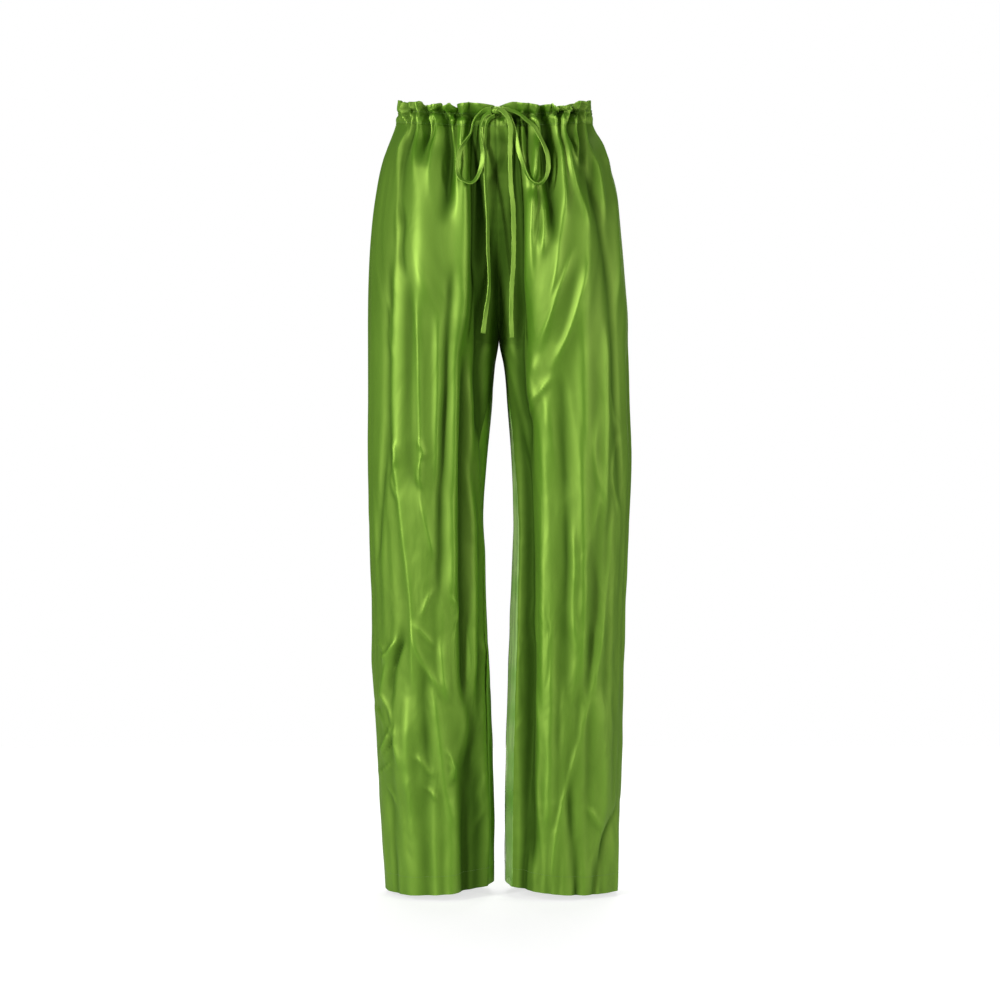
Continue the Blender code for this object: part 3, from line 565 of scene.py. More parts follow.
def mesh_piece(name, points, faces, uv, material):
    """A mesh object from points in millimetres, quads and one (u, v) for each point."""
    mesh = bpy.data.meshes.new(name)
    points, faces = np.asarray(points, float), np.asarray(faces)
    mesh.vertices.add(len(points))
    mesh.vertices.foreach_set("co", (points * MM).ravel())
    mesh.loops.add(faces.size)
    mesh.loops.foreach_set("vertex_index", faces.ravel())
    mesh.polygons.add(len(faces))
    mesh.polygons.foreach_set("loop_start", np.arange(0, faces.size, 4))
    mesh.update(calc_edges=True)
    layer = mesh.uv_layers.new(name="cloth")
    layer.data.foreach_set("uv", np.asarray(uv, float)[faces.ravel()].ravel())
    # fold values paint shade and highlight into the satin's colour; 1 everywhere unless a piece is given its
    # own
    fold = mesh.attributes.new("fold", "FLOAT", "POINT")
    fold.data.foreach_set("value", np.ones(len(points)))
    mesh.materials.append(material)
    mesh.shade_smooth()
    made = bpy.data.objects.new(name, mesh)
    bpy.context.scene.collection.objects.link(made)
    return made


def fold_stand(points):
    """How far each point of a grid stands out from the cloth around it, in millimetres."""
    normals = grid_normals(points)
    width = np.linalg.norm(np.diff(points, axis=1), axis=-1).mean()
    stand = np.zeros(points.shape[:2])
    for reach, weight in ((9.0, 0.5), (20.0, 0.3), (42.0, 0.2)):
        half = max(1, int(round(reach / width)))
        padded = np.pad(points, ((0, 0), (half, half), (0, 0)), mode="reflect", reflect_type="odd")
        sums = np.cumsum(np.concatenate([np.zeros((len(points), 1, 3)), padded], axis=1), axis=1)
        mean = (sums[:, 2 * half + 1 :] - sums[:, : -2 * half - 1]) / (2 * half + 1)
        stand += weight * ((points - mean) * normals).sum(axis=-1)
    return stand


def shell(name, outer, inner, uv, material, painted_shade_and_highlight=0.0):
    """A closed sheet with two faces, from two grids of points that match. Its fold values, which paint shade
    into the hollows and light onto the crests, come from how far each point stands out, plus the painted
    shade and highlight passed in.
    """
    rows, columns = outer.shape[:2]
    index = np.arange(rows * columns).reshape(rows, columns)
    back = index + rows * columns
    quads = np.stack([index[:-1, :-1], index[1:, :-1], index[1:, 1:], index[:-1, 1:]], axis=-1).reshape(-1, 4)
    faces = [quads, quads[:, ::-1] + rows * columns]
    for rim, rim_back in ((index[0], back[0]), (index[-1][::-1], back[-1][::-1])):
        faces.append(np.stack([rim[:-1], rim[1:], rim_back[1:], rim_back[:-1]], axis=-1))
    for rim, rim_back in ((index[::-1, 0], back[::-1, 0]), (index[:, -1], back[:, -1])):
        faces.append(np.stack([rim[:-1], rim[1:], rim_back[1:], rim_back[:-1]], axis=-1))
    faces = np.concatenate(faces)
    middle = outer[rows // 2, columns // 2]
    normal = np.cross(
        outer[rows // 2 + 1, columns // 2] - middle, outer[rows // 2, columns // 2 + 1] - middle
    )
    if normal @ (middle - inner[rows // 2, columns // 2]) < 0:
        faces = faces[:, ::-1]
    both = np.concatenate([outer.reshape(-1, 3), inner.reshape(-1, 3)])
    made = mesh_piece(name, both, faces, np.tile(uv.reshape(-1, 2), (2, 1)), material)
    stand = fold_stand(outer)
    away = outer - inner
    facing = np.sign((grid_normals(outer) * away).sum())
    # fold values: painted shade where a point lies in a hollow and painted light where it stands out, plus
    # what is passed in
    fold = np.clip(np.clip(0.5 + facing * stand / 6.0, 0.0, 1.0) + painted_shade_and_highlight, 0.0, None)
    made.data.attributes["fold"].data.foreach_set("value", np.tile(fold.ravel(), 2))
    on_rim = np.zeros(index.shape, bool)
    on_rim[[0, -1]] = on_rim[:, [0, -1]] = True
    on_rim = np.tile(on_rim.ravel(), 2)
    ends = np.zeros(2 * len(made.data.edges), int)
    made.data.edges.foreach_get("vertices", ends)
    ends = ends.reshape(-1, 2)
    same_face = (ends[:, 0] < rows * columns) == (ends[:, 1] < rows * columns)
    crisp = made.data.attributes.new("sharp_edge", "BOOLEAN", "EDGE")
    crisp.data.foreach_set("value", on_rim[ends[:, 0]] & on_rim[ends[:, 1]] & same_face)
    return made


def flat_places(points):
    """Each point's place on the flat cloth, in metres: across from the first column, and its height."""
    across = np.zeros(points.shape[:2])
    across[:, 1:] = np.cumsum(np.linalg.norm(np.diff(points, axis=1), axis=-1), axis=1)
    across -= across.mean(axis=1, keepdims=True)
    return np.stack([across, points[..., 2]], axis=-1) * MM


def add_node(tree, kind, inputs=(), **settings):
    """A new node. Each input, given by its name or number, takes a value or another node's output."""
    node = tree.nodes.new(kind)
    for name, value in settings.items():
        setattr(node, name, value)
    for name, value in dict(inputs).items():
        if isinstance(value, bpy.types.NodeSocket):
            tree.links.new(value, node.inputs[name])
        else:
            node.inputs[name].default_value = value
    return node


def blend(tree, share, low, high, **settings):
    """A blend of two colours, low where share is 0 and high where it is 1."""
    inputs = {"Factor": share, "A": low, "B": high}
    return add_node(tree, "ShaderNodeMix", inputs, data_type="RGBA", **settings).outputs["Result"]


def ranged(tree, value, from_range, to_range, clamp=True):
    """A value carried from one range of numbers to another."""
    inputs = {
        "Value": value, "From Min": from_range[0], "From Max": from_range[1],
        "To Min": to_range[0], "To Max": to_range[1],
    }
    return add_node(tree, "ShaderNodeMapRange", inputs, clamp=clamp).outputs["Result"]


def noise(tree, place, stretch, detail, distortion=0.0):
    """Noise over the flat cloth: stretch is how many of its waves go to a metre across and along."""
    laid = add_node(tree, "ShaderNodeMapping", {"Vector": place, "Scale": (*stretch, 1.0)})
    inputs = {"Vector": laid.outputs["Vector"], "Scale": 1.0, "Detail": detail, "Distortion": distortion}
    return add_node(tree, "ShaderNodeTexNoise", inputs).outputs["Fac"]


def bump(tree, height, strength, distance, under=None):
    inputs = {"Height": height, "Strength": strength, "Distance": distance}
    if under is not None:
        inputs["Normal"] = under
    return add_node(tree, "ShaderNodeBump", inputs).outputs["Normal"]


# Painted shade and highlight: what the cloth's tone is multiplied by in the deepest fold, the tint of its
# sheen, darkened in the folds and full on the ridges, and the pale colour painted where the cloth faces the
# light.
DEEPEST_FOLD_SHADE = 0.24
SHADED_SHEEN_IN_FOLDS = (0.035, 0.17, 0.008, 1.0)
SHEEN_ON_RIDGES = (0.70, 1.0, 0.19, 1.0)
PAINTED_HIGHLIGHT_COLOUR = (0.48, 0.64, 0.26, 1.0)


def satin(name, bright, deep, thread=1.0):
    """Warp satin: long floats down the cloth give its sheen, over a slightly uneven ground colour."""
    made = bpy.data.materials.new(name)
    made.use_nodes = True
    tree = made.node_tree
    shader = tree.nodes["Principled BSDF"]
    for title, value in (
        ("IOR", 2.1), ("Specular IOR Level", 1.0), ("Anisotropic", 0.35), ("Sheen Weight", 0.05),
        ("Sheen Roughness", 0.4), ("Sheen Tint", (0.55, 0.8, 0.3, 1.0)),
    ):
        shader.inputs[title].default_value = value
    flat = add_node(tree, "ShaderNodeUVMap", uv_map="cloth").outputs["UV"]
    floats = noise(tree, flat, (900.0 * thread, 60.0 * thread), 3.0)
    slubs = noise(tree, flat, (160.0, 7.0), 4.0)
    body = add_node(tree, "ShaderNodeTexCoord").outputs["Object"]
    blotches = add_node(
        tree, "ShaderNodeTexNoise", {"Vector": body, "Scale": 9.0, "Detail": 3.0}
    ).outputs["Fac"]
    uneven = add_node(tree, "ShaderNodeMath", {0: slubs, 1: 0.55, 2: blotches}, operation="MULTIPLY_ADD")
    tone = blend(tree, uneven.outputs["Value"], deep, bright)
    # painted shade: the fold values darken the satin's tone and the tint of its sheen in the folds and paint
    # light on the ridges, which are also made smoother, where the cloth is rubbed and pressed
    fold = add_node(tree, "ShaderNodeAttribute", attribute_name="fold").outputs["Fac"]
    depth = ranged(tree, fold, (0.0, 0.75), (DEEPEST_FOLD_SHADE, 1.0), clamp=False)
    folded = blend(tree, 1.0, tone, depth, blend_type="MULTIPLY")
    # painted highlight: where a fold value runs past 1 the cloth is taken to face the light, and its colour
    # is blended towards pale
    painted_highlight = ranged(tree, fold, (1.2, 3.0), (0.0, 0.75))
    ground = blend(tree, painted_highlight, folded, PAINTED_HIGHLIGHT_COLOUR)
    sheen = blend(tree, depth, SHADED_SHEEN_IN_FOLDS, SHEEN_ON_RIDGES, clamp_factor=True)
    rough = ranged(tree, blotches, (0.0, 1.0), (0.72, 0.82))
    rubbed = add_node(
        tree, "ShaderNodeMath", {0: depth, 1: -0.22, 2: rough}, operation="MULTIPLY_ADD", use_clamp=True
    )
    # the weave, the slubs, and small soft crumples, more of them below the knee
    weave = bump(tree, floats, 0.042, 0.0003)
    fine = bump(tree, slubs, 0.09, 0.001, weave)
    crumples = noise(tree, flat, (30.0, 11.0), 2.0, 0.6)
    height = add_node(tree, "ShaderNodeSeparateXYZ", {"Vector": flat}).outputs["Y"]
    lower = ranged(tree, height, (-0.35, -0.70), (0.3, 1.0))
    weighed = add_node(tree, "ShaderNodeMath", {0: crumples, 1: lower}, operation="MULTIPLY")
    crumpled = bump(tree, weighed.outputs["Value"], 0.6, 0.006, fine)
    for title, output in (
        ("Base Color", ground), ("Specular Tint", sheen), ("Roughness", rubbed.outputs["Value"]),
        ("Normal", crumpled),
    ):
        tree.links.new(output, shader.inputs[title])
    return made


def hem_line(leg, c):
    """The hem's height round the leg, which falls from the inseam to the outer side."""
    outside, inside = outline(leg + "_out", HEM_INSIDE), inner_side(leg, HEM_INSIDE)
    x, _ = plain_cloth(leg, np.full_like(c, HEM_INSIDE), c)
    out = np.clip((x - inside) / (outside - inside), 0.0, 1.0)
    return HEM_INSIDE + (HEM_OUTSIDE - HEM_INSIDE) * out * (2.0 - out)


def panel_heights(leg, c):
    """A height for each row and column, in rows that follow the crotch seam down to the fork."""
    waist = np.linspace(CASING_FOOT - 0.15, -170.0, 72)
    hips = np.linspace(-170.0, FORK, 40)[1:]
    legs = np.linspace(0.0, 1.0, 178)[1:]
    pull = 1.0 - smooth_step(np.minimum(c, 2.0 - c) / 0.5)
    side_fork = FORK - 22.0
    upper = np.concatenate([waist, hips])
    share = (upper - upper[0]) / (upper[-1] - upper[0])
    at_side = upper[0] + (side_fork - upper[0]) * share
    upper_rows = at_side[:, None] * (1.0 - pull) + upper[:, None] * pull
    fork_row = upper_rows[-1]
    hem = hem_line(leg, c)
    turn_up = HEM_TURN_UP / (FORK - HEM_OUTSIDE)
    legs = np.unique(np.concatenate([legs, [1.0 - turn_up, 1.0 - turn_up + 0.001]]))
    return np.concatenate([upper_rows, fork_row + (hem - fork_row) * legs[:, None]]), len(upper)


# Painted shade on the front panels beside the inseam: where, how wide to each side and how deep, for each
# leg.
INNER_SHADE_COLUMNS = ("z", "left_x", "left_wide", "left_deep", "right_x", "right_wide", "right_deep")
INNER_SHADE_ROWS = (
    (-330, -28, 12, 0.00, 24, 12, 0.00),
    (-400, -26, 13, 0.34, 27, 16, 0.34),
    (-520, -24, 12, 0.30, 36, 18, 0.36),
    (-650, -25, 13, 0.24, 40, 17, 0.32),
    (-800, -27, 15, 0.28, 38, 15, 0.28),
    (-900, -32, 19, 0.42, 40, 16, 0.32),
    (-1046, -34, 21, 0.44, 40, 17, 0.32),
)
INNER_SHADES = dict(zip(INNER_SHADE_COLUMNS, np.array(INNER_SHADE_ROWS, float).T))


def inner_shade(leg, z, x, y):
    middle, wide, deep = (
        np.interp(-z, -INNER_SHADES["z"], INNER_SHADES[f"{leg}_{part}"]) for part in ("x", "wide", "deep")
    )
    return -deep * np.exp(-(((x - middle) / wide) ** 2)) * (y < 0.0)


def painted_shade_and_highlight(leg, z, c, points):
    """What is added to the fold values: a painted highlight on the back panels' edges beside the inseams, and
    painted shade down the front's centre, in the fork and beside the inseams."""
    x, y = points[..., 0], points[..., 1]
    in_front = y < 0.0
    edge = smooth_step(-y / 8.0) * smooth_step((FORK - 60.0 - z) / 60.0) * (c > 1.0) * (np.abs(x) < 60.0)
    # painted highlight on the back panels' edges beside the inseams, stronger on the right leg, made uneven
    # down the leg
    worn = 0.75 + 0.25 * np.sin(z / 31.0) * np.sin(z / 13.0)
    lit = {"left": 0.25, "right": 3.2}[leg] * (1.0 - 0.30 * smooth_step((-700.0 - z) / 260.0))
    # painted shade in the fork and down the front's centre
    fork = -0.55 * np.exp(-(((z - FORK + 35.0) / 75.0) ** 2) - (x / 34.0) ** 2) * in_front
    down = smooth_step((-8.0 - z) / 25.0) * (1.0 - smooth_step((FORK - 20.0 - z) / 90.0))
    centre = -0.40 * down * np.exp(-(((x + 2.0) / 27.0) ** 4)) * in_front
    return np.minimum(fork, centre) + edge * worn * lit + inner_shade(leg, z, x, y) * (c < 1.0)


green_satin = satin("green_satin", (0.042, 0.152, 0.003, 1.0), (0.031, 0.119, 0.002, 1.0))
panels = {}
for face_name in ("front", "back"):
    for leg_name in LEGS:
        across = np.linspace(0.0, 1.0, 131)
        c = across if face_name == "front" else 2.0 - across
        z, fork_row = panel_heights(leg_name, c)
        outer = cloth(leg_name, z, np.broadcast_to(c, z.shape))
        normals = grid_normals(outer)
        towards = outer - np.array([outline(leg_name + "_out", -600.0) / 2, 0.0, 0.0])
        if (normals[-60:] * (towards[-60:] * (1.0, 1.0, 0.0))).sum() < 0:
            normals = -normals
        normals[:fork_row, 0, 0] = 0.0
        normals[:fork_row, 0] /= np.linalg.norm(normals[:fork_row, 0], axis=-1, keepdims=True)
        turned_up = (z < hem_line(leg_name, c) + HEM_TURN_UP)[..., None]
        inner = outer - normals * np.where(turned_up, 2 * SATIN_THICK, SATIN_THICK)
        # painted shade and highlight added to this panel's fold values
        shade = painted_shade_and_highlight(leg_name, z, c, outer)
        panel = shell(f"{face_name}_panel_{leg_name}", outer, inner, flat_places(outer), green_satin, shade)
        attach(panel, "root")
        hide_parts(f"{face_name}_{leg_name}")
        panels[face_name, leg_name] = panel
# Each panel's width and length laid flat, in metres, and the area of it that shows.
PANEL_CUTS = {"front": (0.29, 1.07, 0.272), "back": (0.31, 1.07, 0.292)}
for (face_name, leg_name), panel in panels.items():
    width, length, cloth_area = PANEL_CUTS[face_name]


# Waist casing
# A strip of the same satin folded double, gathered on the drawstring, with a free frill standing above the
# channel. The front and back halves meet at the side seams.
FRILL_TOP = 20.0
CASING_THICK = 2.0
CHANNEL_TOP = 4.0
QUARTER_WAIST = 190.0
FRILL_FLARE = 4.5  # how far the frill leans out at the centre
BOW_BED = 6.5  # how far the bow's loops press the casing in, beside the knot
# The frill's upper edge across the front, read from its outline: x, and how far it stands above FRILL_TOP.
FRILL_EDGE = (
    (-132.4, -5), (-126.9, -2.7), (-122.8, -3.9), (-119.3, -2.6), (-110.5, -2.4), (-106.1, -0.8),
    (-102.2, -1.9), (-98.3, -9.6), (-94, -6.6), (-89.9, -5.3), (-82, -2.6), (-78, -2.2), (-74.5, -10.9),
    (-69.3, -2.2), (-65.5, -1.9), (-58, -7.9), (-54.5, -3.5), (-46, -1.4), (-39.4, 0.5), (-30.2, -1.1),
    (-18.3, -2.2), (-10.6, -3.2), (-0.2, -5.6), (9.3, -1.9), (17.2, 0.5), (24.8, 0.2), (32.9, -1.5),
    (39.8, -1.2), (48.9, -4.3), (54.6, -5), (60.5, -4.7), (69.7, -3.6), (72.6, -2.8), (76.9, -11.6),
    (79.7, -10.5), (85, -8.5), (89.2, -5.9), (92.8, -5.9), (97.1, -11.5), (101.3, -3.7), (106.6, -1.2),
    (113.7, -1.4), (118, -2.8), (121.5, -5),
)


def frill_lift(z, c, x, gathers, round_waist):
    """How far the frill's cloth is raised: its read edge at the front, and with the gathers at the back."""
    raised = 2.0 * np.tanh(0.14 * np.maximum(gathers, 0.0)) - 6.0 * np.tanh(0.13 * np.maximum(-gathers, 0.0))
    raised = raised - 0.6 + 0.6 * np.sin(round_waist / 5.3)
    places, heights = np.array(FRILL_EDGE, float).T
    return smooth_step((z - CHANNEL_TOP) / 14.0) * np.where(c < 1.0, np.interp(x, places, heights), raised)


def casing_cloth(leg, z, c):
    """The casing's outer face: the panels' gathers run up through the channel and spread in the frill."""
    z, c = np.broadcast_arrays(np.asarray(z, float), np.asarray(c, float))
    points = cloth(leg, z, c)
    x, _ = plain_cloth(leg, z, c)
    small = 1e-3
    ahead = cloth(leg, z, np.clip(c + small, 0.0, 2.0)) - cloth(leg, z, np.clip(c - small, 0.0, 2.0))
    ahead[..., 2] = 0.0
    ahead /= np.linalg.norm(ahead, axis=-1, keepdims=True) + 1e-9
    side = SIDE_OF[leg]
    out = np.stack([side * ahead[..., 1], -side * ahead[..., 0], np.zeros_like(z)], axis=-1)
    end = smooth_step(np.minimum(c, 2.0 - c) / 0.03) * (0.2 + 0.8 * smooth_step(np.abs(c - 1.0) / 0.03))
    gathers = front_gathers(leg, z, c, x) + back_gathers(leg, z, c)
    round_waist = c * QUARTER_WAIST + (0.0 if leg == "left" else 41.0)
    fine = np.sin(round_waist / 0.95 + 1.7 * np.sin(round_waist / 7.3))
    fine = fine + 0.6 * np.sin(round_waist / 1.7 + z / 5.0)
    held_in = np.exp(-(((z + 4.0) / 7.0) ** 2))
    neck = CHANNEL_TOP + 2.0 * np.sin(round_waist / 9.0) + 1.2 * np.sin(round_waist / 4.1)
    drawn = 2.2 + 1.3 * np.sin(round_waist / 6.3 + 0.7)
    frilled = smooth_step((z - CHANNEL_TOP) / 12.0)
    flared = FRILL_FLARE * smooth_step((z - CHANNEL_TOP - 1.0) / 16.0)
    flared = flared * (1.0 - smooth_step((np.abs(x) - 55.0) / 60.0))
    push = 0.45 * fine * held_in + 0.5 * frilled * np.sin(round_waist / 3.1 + 0.8) + flared
    push = push + (0.9 * np.exp(-(((z + 4.0) / 5.0) ** 2)) - drawn * np.exp(-(((z - neck) / 3.6) ** 2)))
    under_bow = np.exp(-(((np.abs(x - 1.0) - 23.0) / 11.0) ** 2) - ((z - 0.5) / 9.0) ** 2)
    push = push - np.where(c < 1.0, BOW_BED * under_bow, 0.0)
    lift = frill_lift(z, c, points[..., 0], gathers, round_waist) * np.where(c < 1.0, 1.0, end)
    slide = 0.9 * frilled * np.sin(round_waist / 4.4) * end
    moved = points + out * (push * end)[..., None] + ahead * slide[..., None]
    moved[..., 2] = points[..., 2] + lift
    return moved


for face_name in ("front", "back"):
    across = np.linspace(0.0, 1.0, 181)
    c = across if face_name == "front" else 2.0 - across
    z = np.linspace(FRILL_TOP, CASING_FOOT + 0.15, 40)[:, None]
    halves = [casing_cloth(leg_name, z, c[None, :]) for leg_name in LEGS]
    outer = np.concatenate([halves[0][:, :0:-1], halves[1]], axis=1)
    normals = grid_normals(outer)
    if (normals * (outer * (1.0, 1.0, 0.0))).sum() < 0:
        normals = -normals
    # the folded edge at the top is rounded: the cloth rolls over it and down inside
    rolled = np.clip((FRILL_TOP - z) / (CASING_THICK / 2), 0.0, 1.0)[..., None]
    inner = outer - normals * CASING_THICK * (0.25 + 0.75 * np.sqrt(rolled))
    casing = shell(f"{face_name}_casing", outer, inner, flat_places(outer), green_satin)
    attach(casing, "root")
    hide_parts(f"casing_{face_name}")


# Stitching
# Lockstitch in thread of the cloth's colour: one row round each leg where the hem is turned up, and two
# round the waist, above and below the drawstring. Each row follows the finished cloth.
HEM_STITCHES_UP = 25.0
STITCH_LENGTH = 2.4
STITCH_SPACING = 3.3
THREAD_THICK = 0.32
THREAD_LIFT = 0.12  # the thread's middle above the cloth


def stitch_tree():
    """Takes curves in, and gives back a short thread lying along them at every spacing."""
    tree = bpy.data.node_groups.new("stitch_row", "GeometryNodeTree")
    for title, kind in (
        ("Rows", "Geometry"), ("Spacing", "Float"), ("Length", "Float"), ("Thickness", "Float"),
        ("Thread", "Material"),
    ):
        tree.interface.new_socket(title, in_out="INPUT", socket_type="NodeSocket" + kind)
    tree.interface.new_socket("Stitches", in_out="OUTPUT", socket_type="NodeSocketGeometry")
    given = add_node(tree, "NodeGroupInput").outputs
    spaced = add_node(
        tree, "GeometryNodeCurveToPoints", {"Curve": given["Rows"], "Length": given["Spacing"]}, mode="LENGTH"
    ).outputs
    radius = add_node(tree, "ShaderNodeMath", {0: given["Thickness"], 1: 0.5}, operation="MULTIPLY")
    thread = add_node(
        tree, "GeometryNodeMeshCylinder",
        {"Vertices": 6, "Radius": radius.outputs["Value"], "Depth": given["Length"]},
    )
    turned = add_node(tree, "FunctionNodeAlignRotationToVector", {"Vector": spaced["Tangent"]}, axis="Z")
    placed = add_node(tree, "GeometryNodeInstanceOnPoints", {
        "Points": spaced["Points"], "Instance": thread.outputs["Mesh"],
        "Rotation": turned.outputs["Rotation"],
    })
    real = add_node(tree, "GeometryNodeRealizeInstances", {"Geometry": placed.outputs["Instances"]})
    coloured = add_node(
        tree, "GeometryNodeSetMaterial", {"Geometry": real.outputs["Geometry"], "Material": given["Thread"]}
    )
    add_node(tree, "NodeGroupOutput", {"Stitches": coloured.outputs["Geometry"]})
    return tree


def thread_material():
    """Spun thread, a little lighter than the satin, with a twist along it."""
    made = bpy.data.materials.new("green_thread")
    made.use_nodes = True
    tree = made.node_tree
    shader = tree.nodes["Principled BSDF"]
    shader.inputs["Roughness"].default_value = 0.6
    shader.inputs["Sheen Weight"].default_value = 0.3
    body = add_node(tree, "ShaderNodeTexCoord").outputs["Object"]
    twist = add_node(tree, "ShaderNodeTexNoise", {"Vector": body, "Scale": 1500.0}).outputs["Fac"]
    tone = blend(tree, twist, (0.07, 0.17, 0.012, 1.0), (0.14, 0.28, 0.03, 1.0))
    tree.links.new(tone, shader.inputs["Base Color"])
    return made


def stitches(name, rows, tree, thread):
    """A mesh of stitches along rows of points in millimetres, each row a closed ring."""
    curves = bpy.data.curves.new(name, "CURVE")
    curves.dimensions = "3D"
    for points in rows:
        spline = curves.splines.new("POLY")
        spline.points.add(len(points) - 1)
        spline.points.foreach_set("co", np.hstack([points * MM, np.ones((len(points), 1))]).ravel())
        spline.use_cyclic_u = True
    guide = bpy.data.objects.new(name + "_guide", curves)
    bpy.context.scene.collection.objects.link(guide)
    modifier = guide.modifiers.new("stitches", "NODES")
    modifier.node_group = tree
    values = {
        "Spacing": STITCH_SPACING * MM, "Length": STITCH_LENGTH * MM, "Thickness": THREAD_THICK * MM,
        "Thread": thread,
    }
    for item in tree.interface.items_tree:
        if item.in_out == "INPUT" and item.name in values:
            modifier[item.identifier] = values[item.name]
    evaluated = guide.evaluated_get(bpy.context.evaluated_depsgraph_get())
    mesh = bpy.data.meshes.new_from_object(evaluated)
    made = bpy.data.objects.new(name, mesh)
    bpy.context.scene.collection.objects.link(made)
    guide.modifiers.remove(modifier)
    bpy.data.objects.remove(guide)
    mesh.shade_smooth()
    return made


def lifted(points, by):
    """A closed ring of points, moved outwards from the cloth under it."""
    ahead = np.roll(points, -1, axis=0) - np.roll(points, 1, axis=0)
    out = np.stack([ahead[:, 1], -ahead[:, 0], np.zeros(len(points))], axis=-1)
    out /= np.linalg.norm(out, axis=1, keepdims=True) + 1e-9
    if (out * (points - points.mean(axis=0))).sum() < 0:
        out = -out
    return points + out * by


ring = np.linspace(0.0, 2.0, 521)[:-1]
hem_rows = []
for leg_name in LEGS:
    row = cloth(leg_name, hem_line(leg_name, ring) + HEM_STITCHES_UP, ring)
    hem_rows.append(lifted(row, THREAD_LIFT))
waist_ring = np.linspace(0.0, 2.0, 901)
waist_rows = []
for height in (CHANNEL_TOP + 1.0, CASING_FOOT + 2.2):
    left_row = casing_cloth("left", np.full_like(waist_ring, height), waist_ring)
    right_row = casing_cloth("right", np.full_like(waist_ring, height), waist_ring)
    waist_rows.append(lifted(np.concatenate([left_row[:-1], right_row[:0:-1]]), THREAD_LIFT))
stitch_nodes = stitch_tree()
green_thread = thread_material()
for name, rows, finish in (
    ("hem_stitching", hem_rows, "satin"), ("waist_stitching", waist_rows, "casing_satin"),
):
    sewn = stitches(name, rows, stitch_nodes, green_thread)
    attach(sewn, "root")


# Drawstring
# A narrow tie of the same satin, folded, stitched and pressed flat, tied in a bow at the centre front. Its
# two loops and two cut ends hang from the knot against the cloth.
TIE_WIDTH = 6.4
TIE_THICK = 1.9
TIE_STEP = 1.6  # between the rings of points along a tie

# (x, y, z) down the middle of each stretch, from the knot.
TIE_ROUTES = {
    "bow_loop_left": (
        (-9.9, -92, 2.5), (-18.5, -90.5, 1), (-25.5, -90, -4), (-31.5, -90, -11), (-34.5, -91, -18),
        (-37, -94, -29), (-42, -96.5, -37.5), (-49, -99.5, -47.5), (-53, -102.5, -59.5),
        (-54.5, -105.5, -70.5), (-54.5, -107.5, -81), (-52, -109.5, -89), (-45, -110.5, -93.5),
        (-37, -110.5, -95.5), (-30.5, -109.5, -91), (-25.5, -109, -81), (-22, -108, -68.5),
        (-21.5, -106, -55), (-23, -102.5, -43), (-24.5, -97.5, -26), (-23, -95, -15),
        (-19.5, -94, -7.5), (-14, -93, -3.5), (-9.9, -92.5, -2.6),
    ),
    "bow_loop_right": (
        (4, -92, 2.5), (15, -90.5, 1), (26.5, -89.5, -4), (37, -89.5, -12.5), (46, -89.5, -20),
        (51.5, -90.5, -29.5), (58.5, -92.5, -43.5), (63.5, -95.5, -56.5), (65, -98, -70),
        (64, -100.5, -81), (60, -103.5, -91), (53.5, -106, -96.5), (47, -106.5, -95.5),
        (40.5, -105.5, -90), (35, -103.5, -80), (30.5, -101, -67), (26.5, -98.5, -54.5),
        (24, -96.5, -42.5), (22, -95, -32.5), (18.5, -94, -19), (14, -93.5, -9), (9, -93, -3.5),
        (4, -92.5, -2.6),
    ),
    "drawstring_end_left": (
        (-5, -90.8, -6.4), (-9.5, -90.8, -8.2), (-13.5, -90.8, -11.5), (-17, -92, -19.5), (-18, -97, -37),
        (-18, -101.5, -59.5), (-18.5, -104.5, -81), (-18, -105.5, -97.5), (-17, -106, -114.5),
        (-15, -105.5, -143.5), (-14.5, -104, -181.5), (-13, -103, -216), (-13.5, -102.5, -240),
        (-17, -102, -263.5), (-21, -101.5, -293),
    ),
    "drawstring_end_right": (
        (0.5, -97, 2.5), (4.5, -98, -0.5), (9, -99.5, -5), (13, -100.5, -13), (15.5, -100.5, -23.5),
        (15, -101, -37), (14.5, -103, -59.5), (15, -105, -81), (16, -105.5, -103.5), (18.5, -105.5, -125),
        (19.5, -104.5, -162), (19, -103.5, -201), (17, -103, -230.5), (16, -102.5, -269.5),
        (17, -102, -299),
    ),
}
# How far the tie's flat side is turned from facing the front, in degrees, evenly along each stretch.
TIE_TURNS = {
    "bow_loop_left": (20, 60, 75, 40, 25, 60, 50, 20, 65, 70, 35),
    "bow_loop_right": (10, 50, 30, 45, 20, 55, 70, 40, 20, 45, 30),
    "drawstring_end_left": (50, 70, 62, 66, 58, 50, 62, 40, 15),
    "drawstring_end_right": (20, 10, 35, 22, 5, 30, 12, 35, 10),
}


def smooth_line(route, step):
    """A smooth curve through a route's points, as points a step apart, and its length."""
    own = np.array(route, float)
    padded = np.vstack([2 * own[0] - own[1], own, 2 * own[-1] - own[-2]])
    fine = []
    for a, b, c, d in zip(padded, padded[1:], padded[2:], padded[3:]):
        for s in np.linspace(0.0, 1.0, 20, endpoint=False):
            square, cube = 2 * a - 5 * b + 4 * c - d, 3 * b - a - 3 * c + d
            fine.append(0.5 * (2 * b + (c - a) * s + square * s**2 + cube * s**3))
    fine = np.array(fine + [own[-1]])
    along = np.concatenate([[0.0], np.cumsum(np.linalg.norm(np.diff(fine, axis=0), axis=1))])
    steps = np.linspace(0.0, along[-1], int(np.ceil(along[-1] / step)) + 1)
    return np.stack([np.interp(steps, along, fine[:, k]) for k in range(3)], axis=1), along[-1]


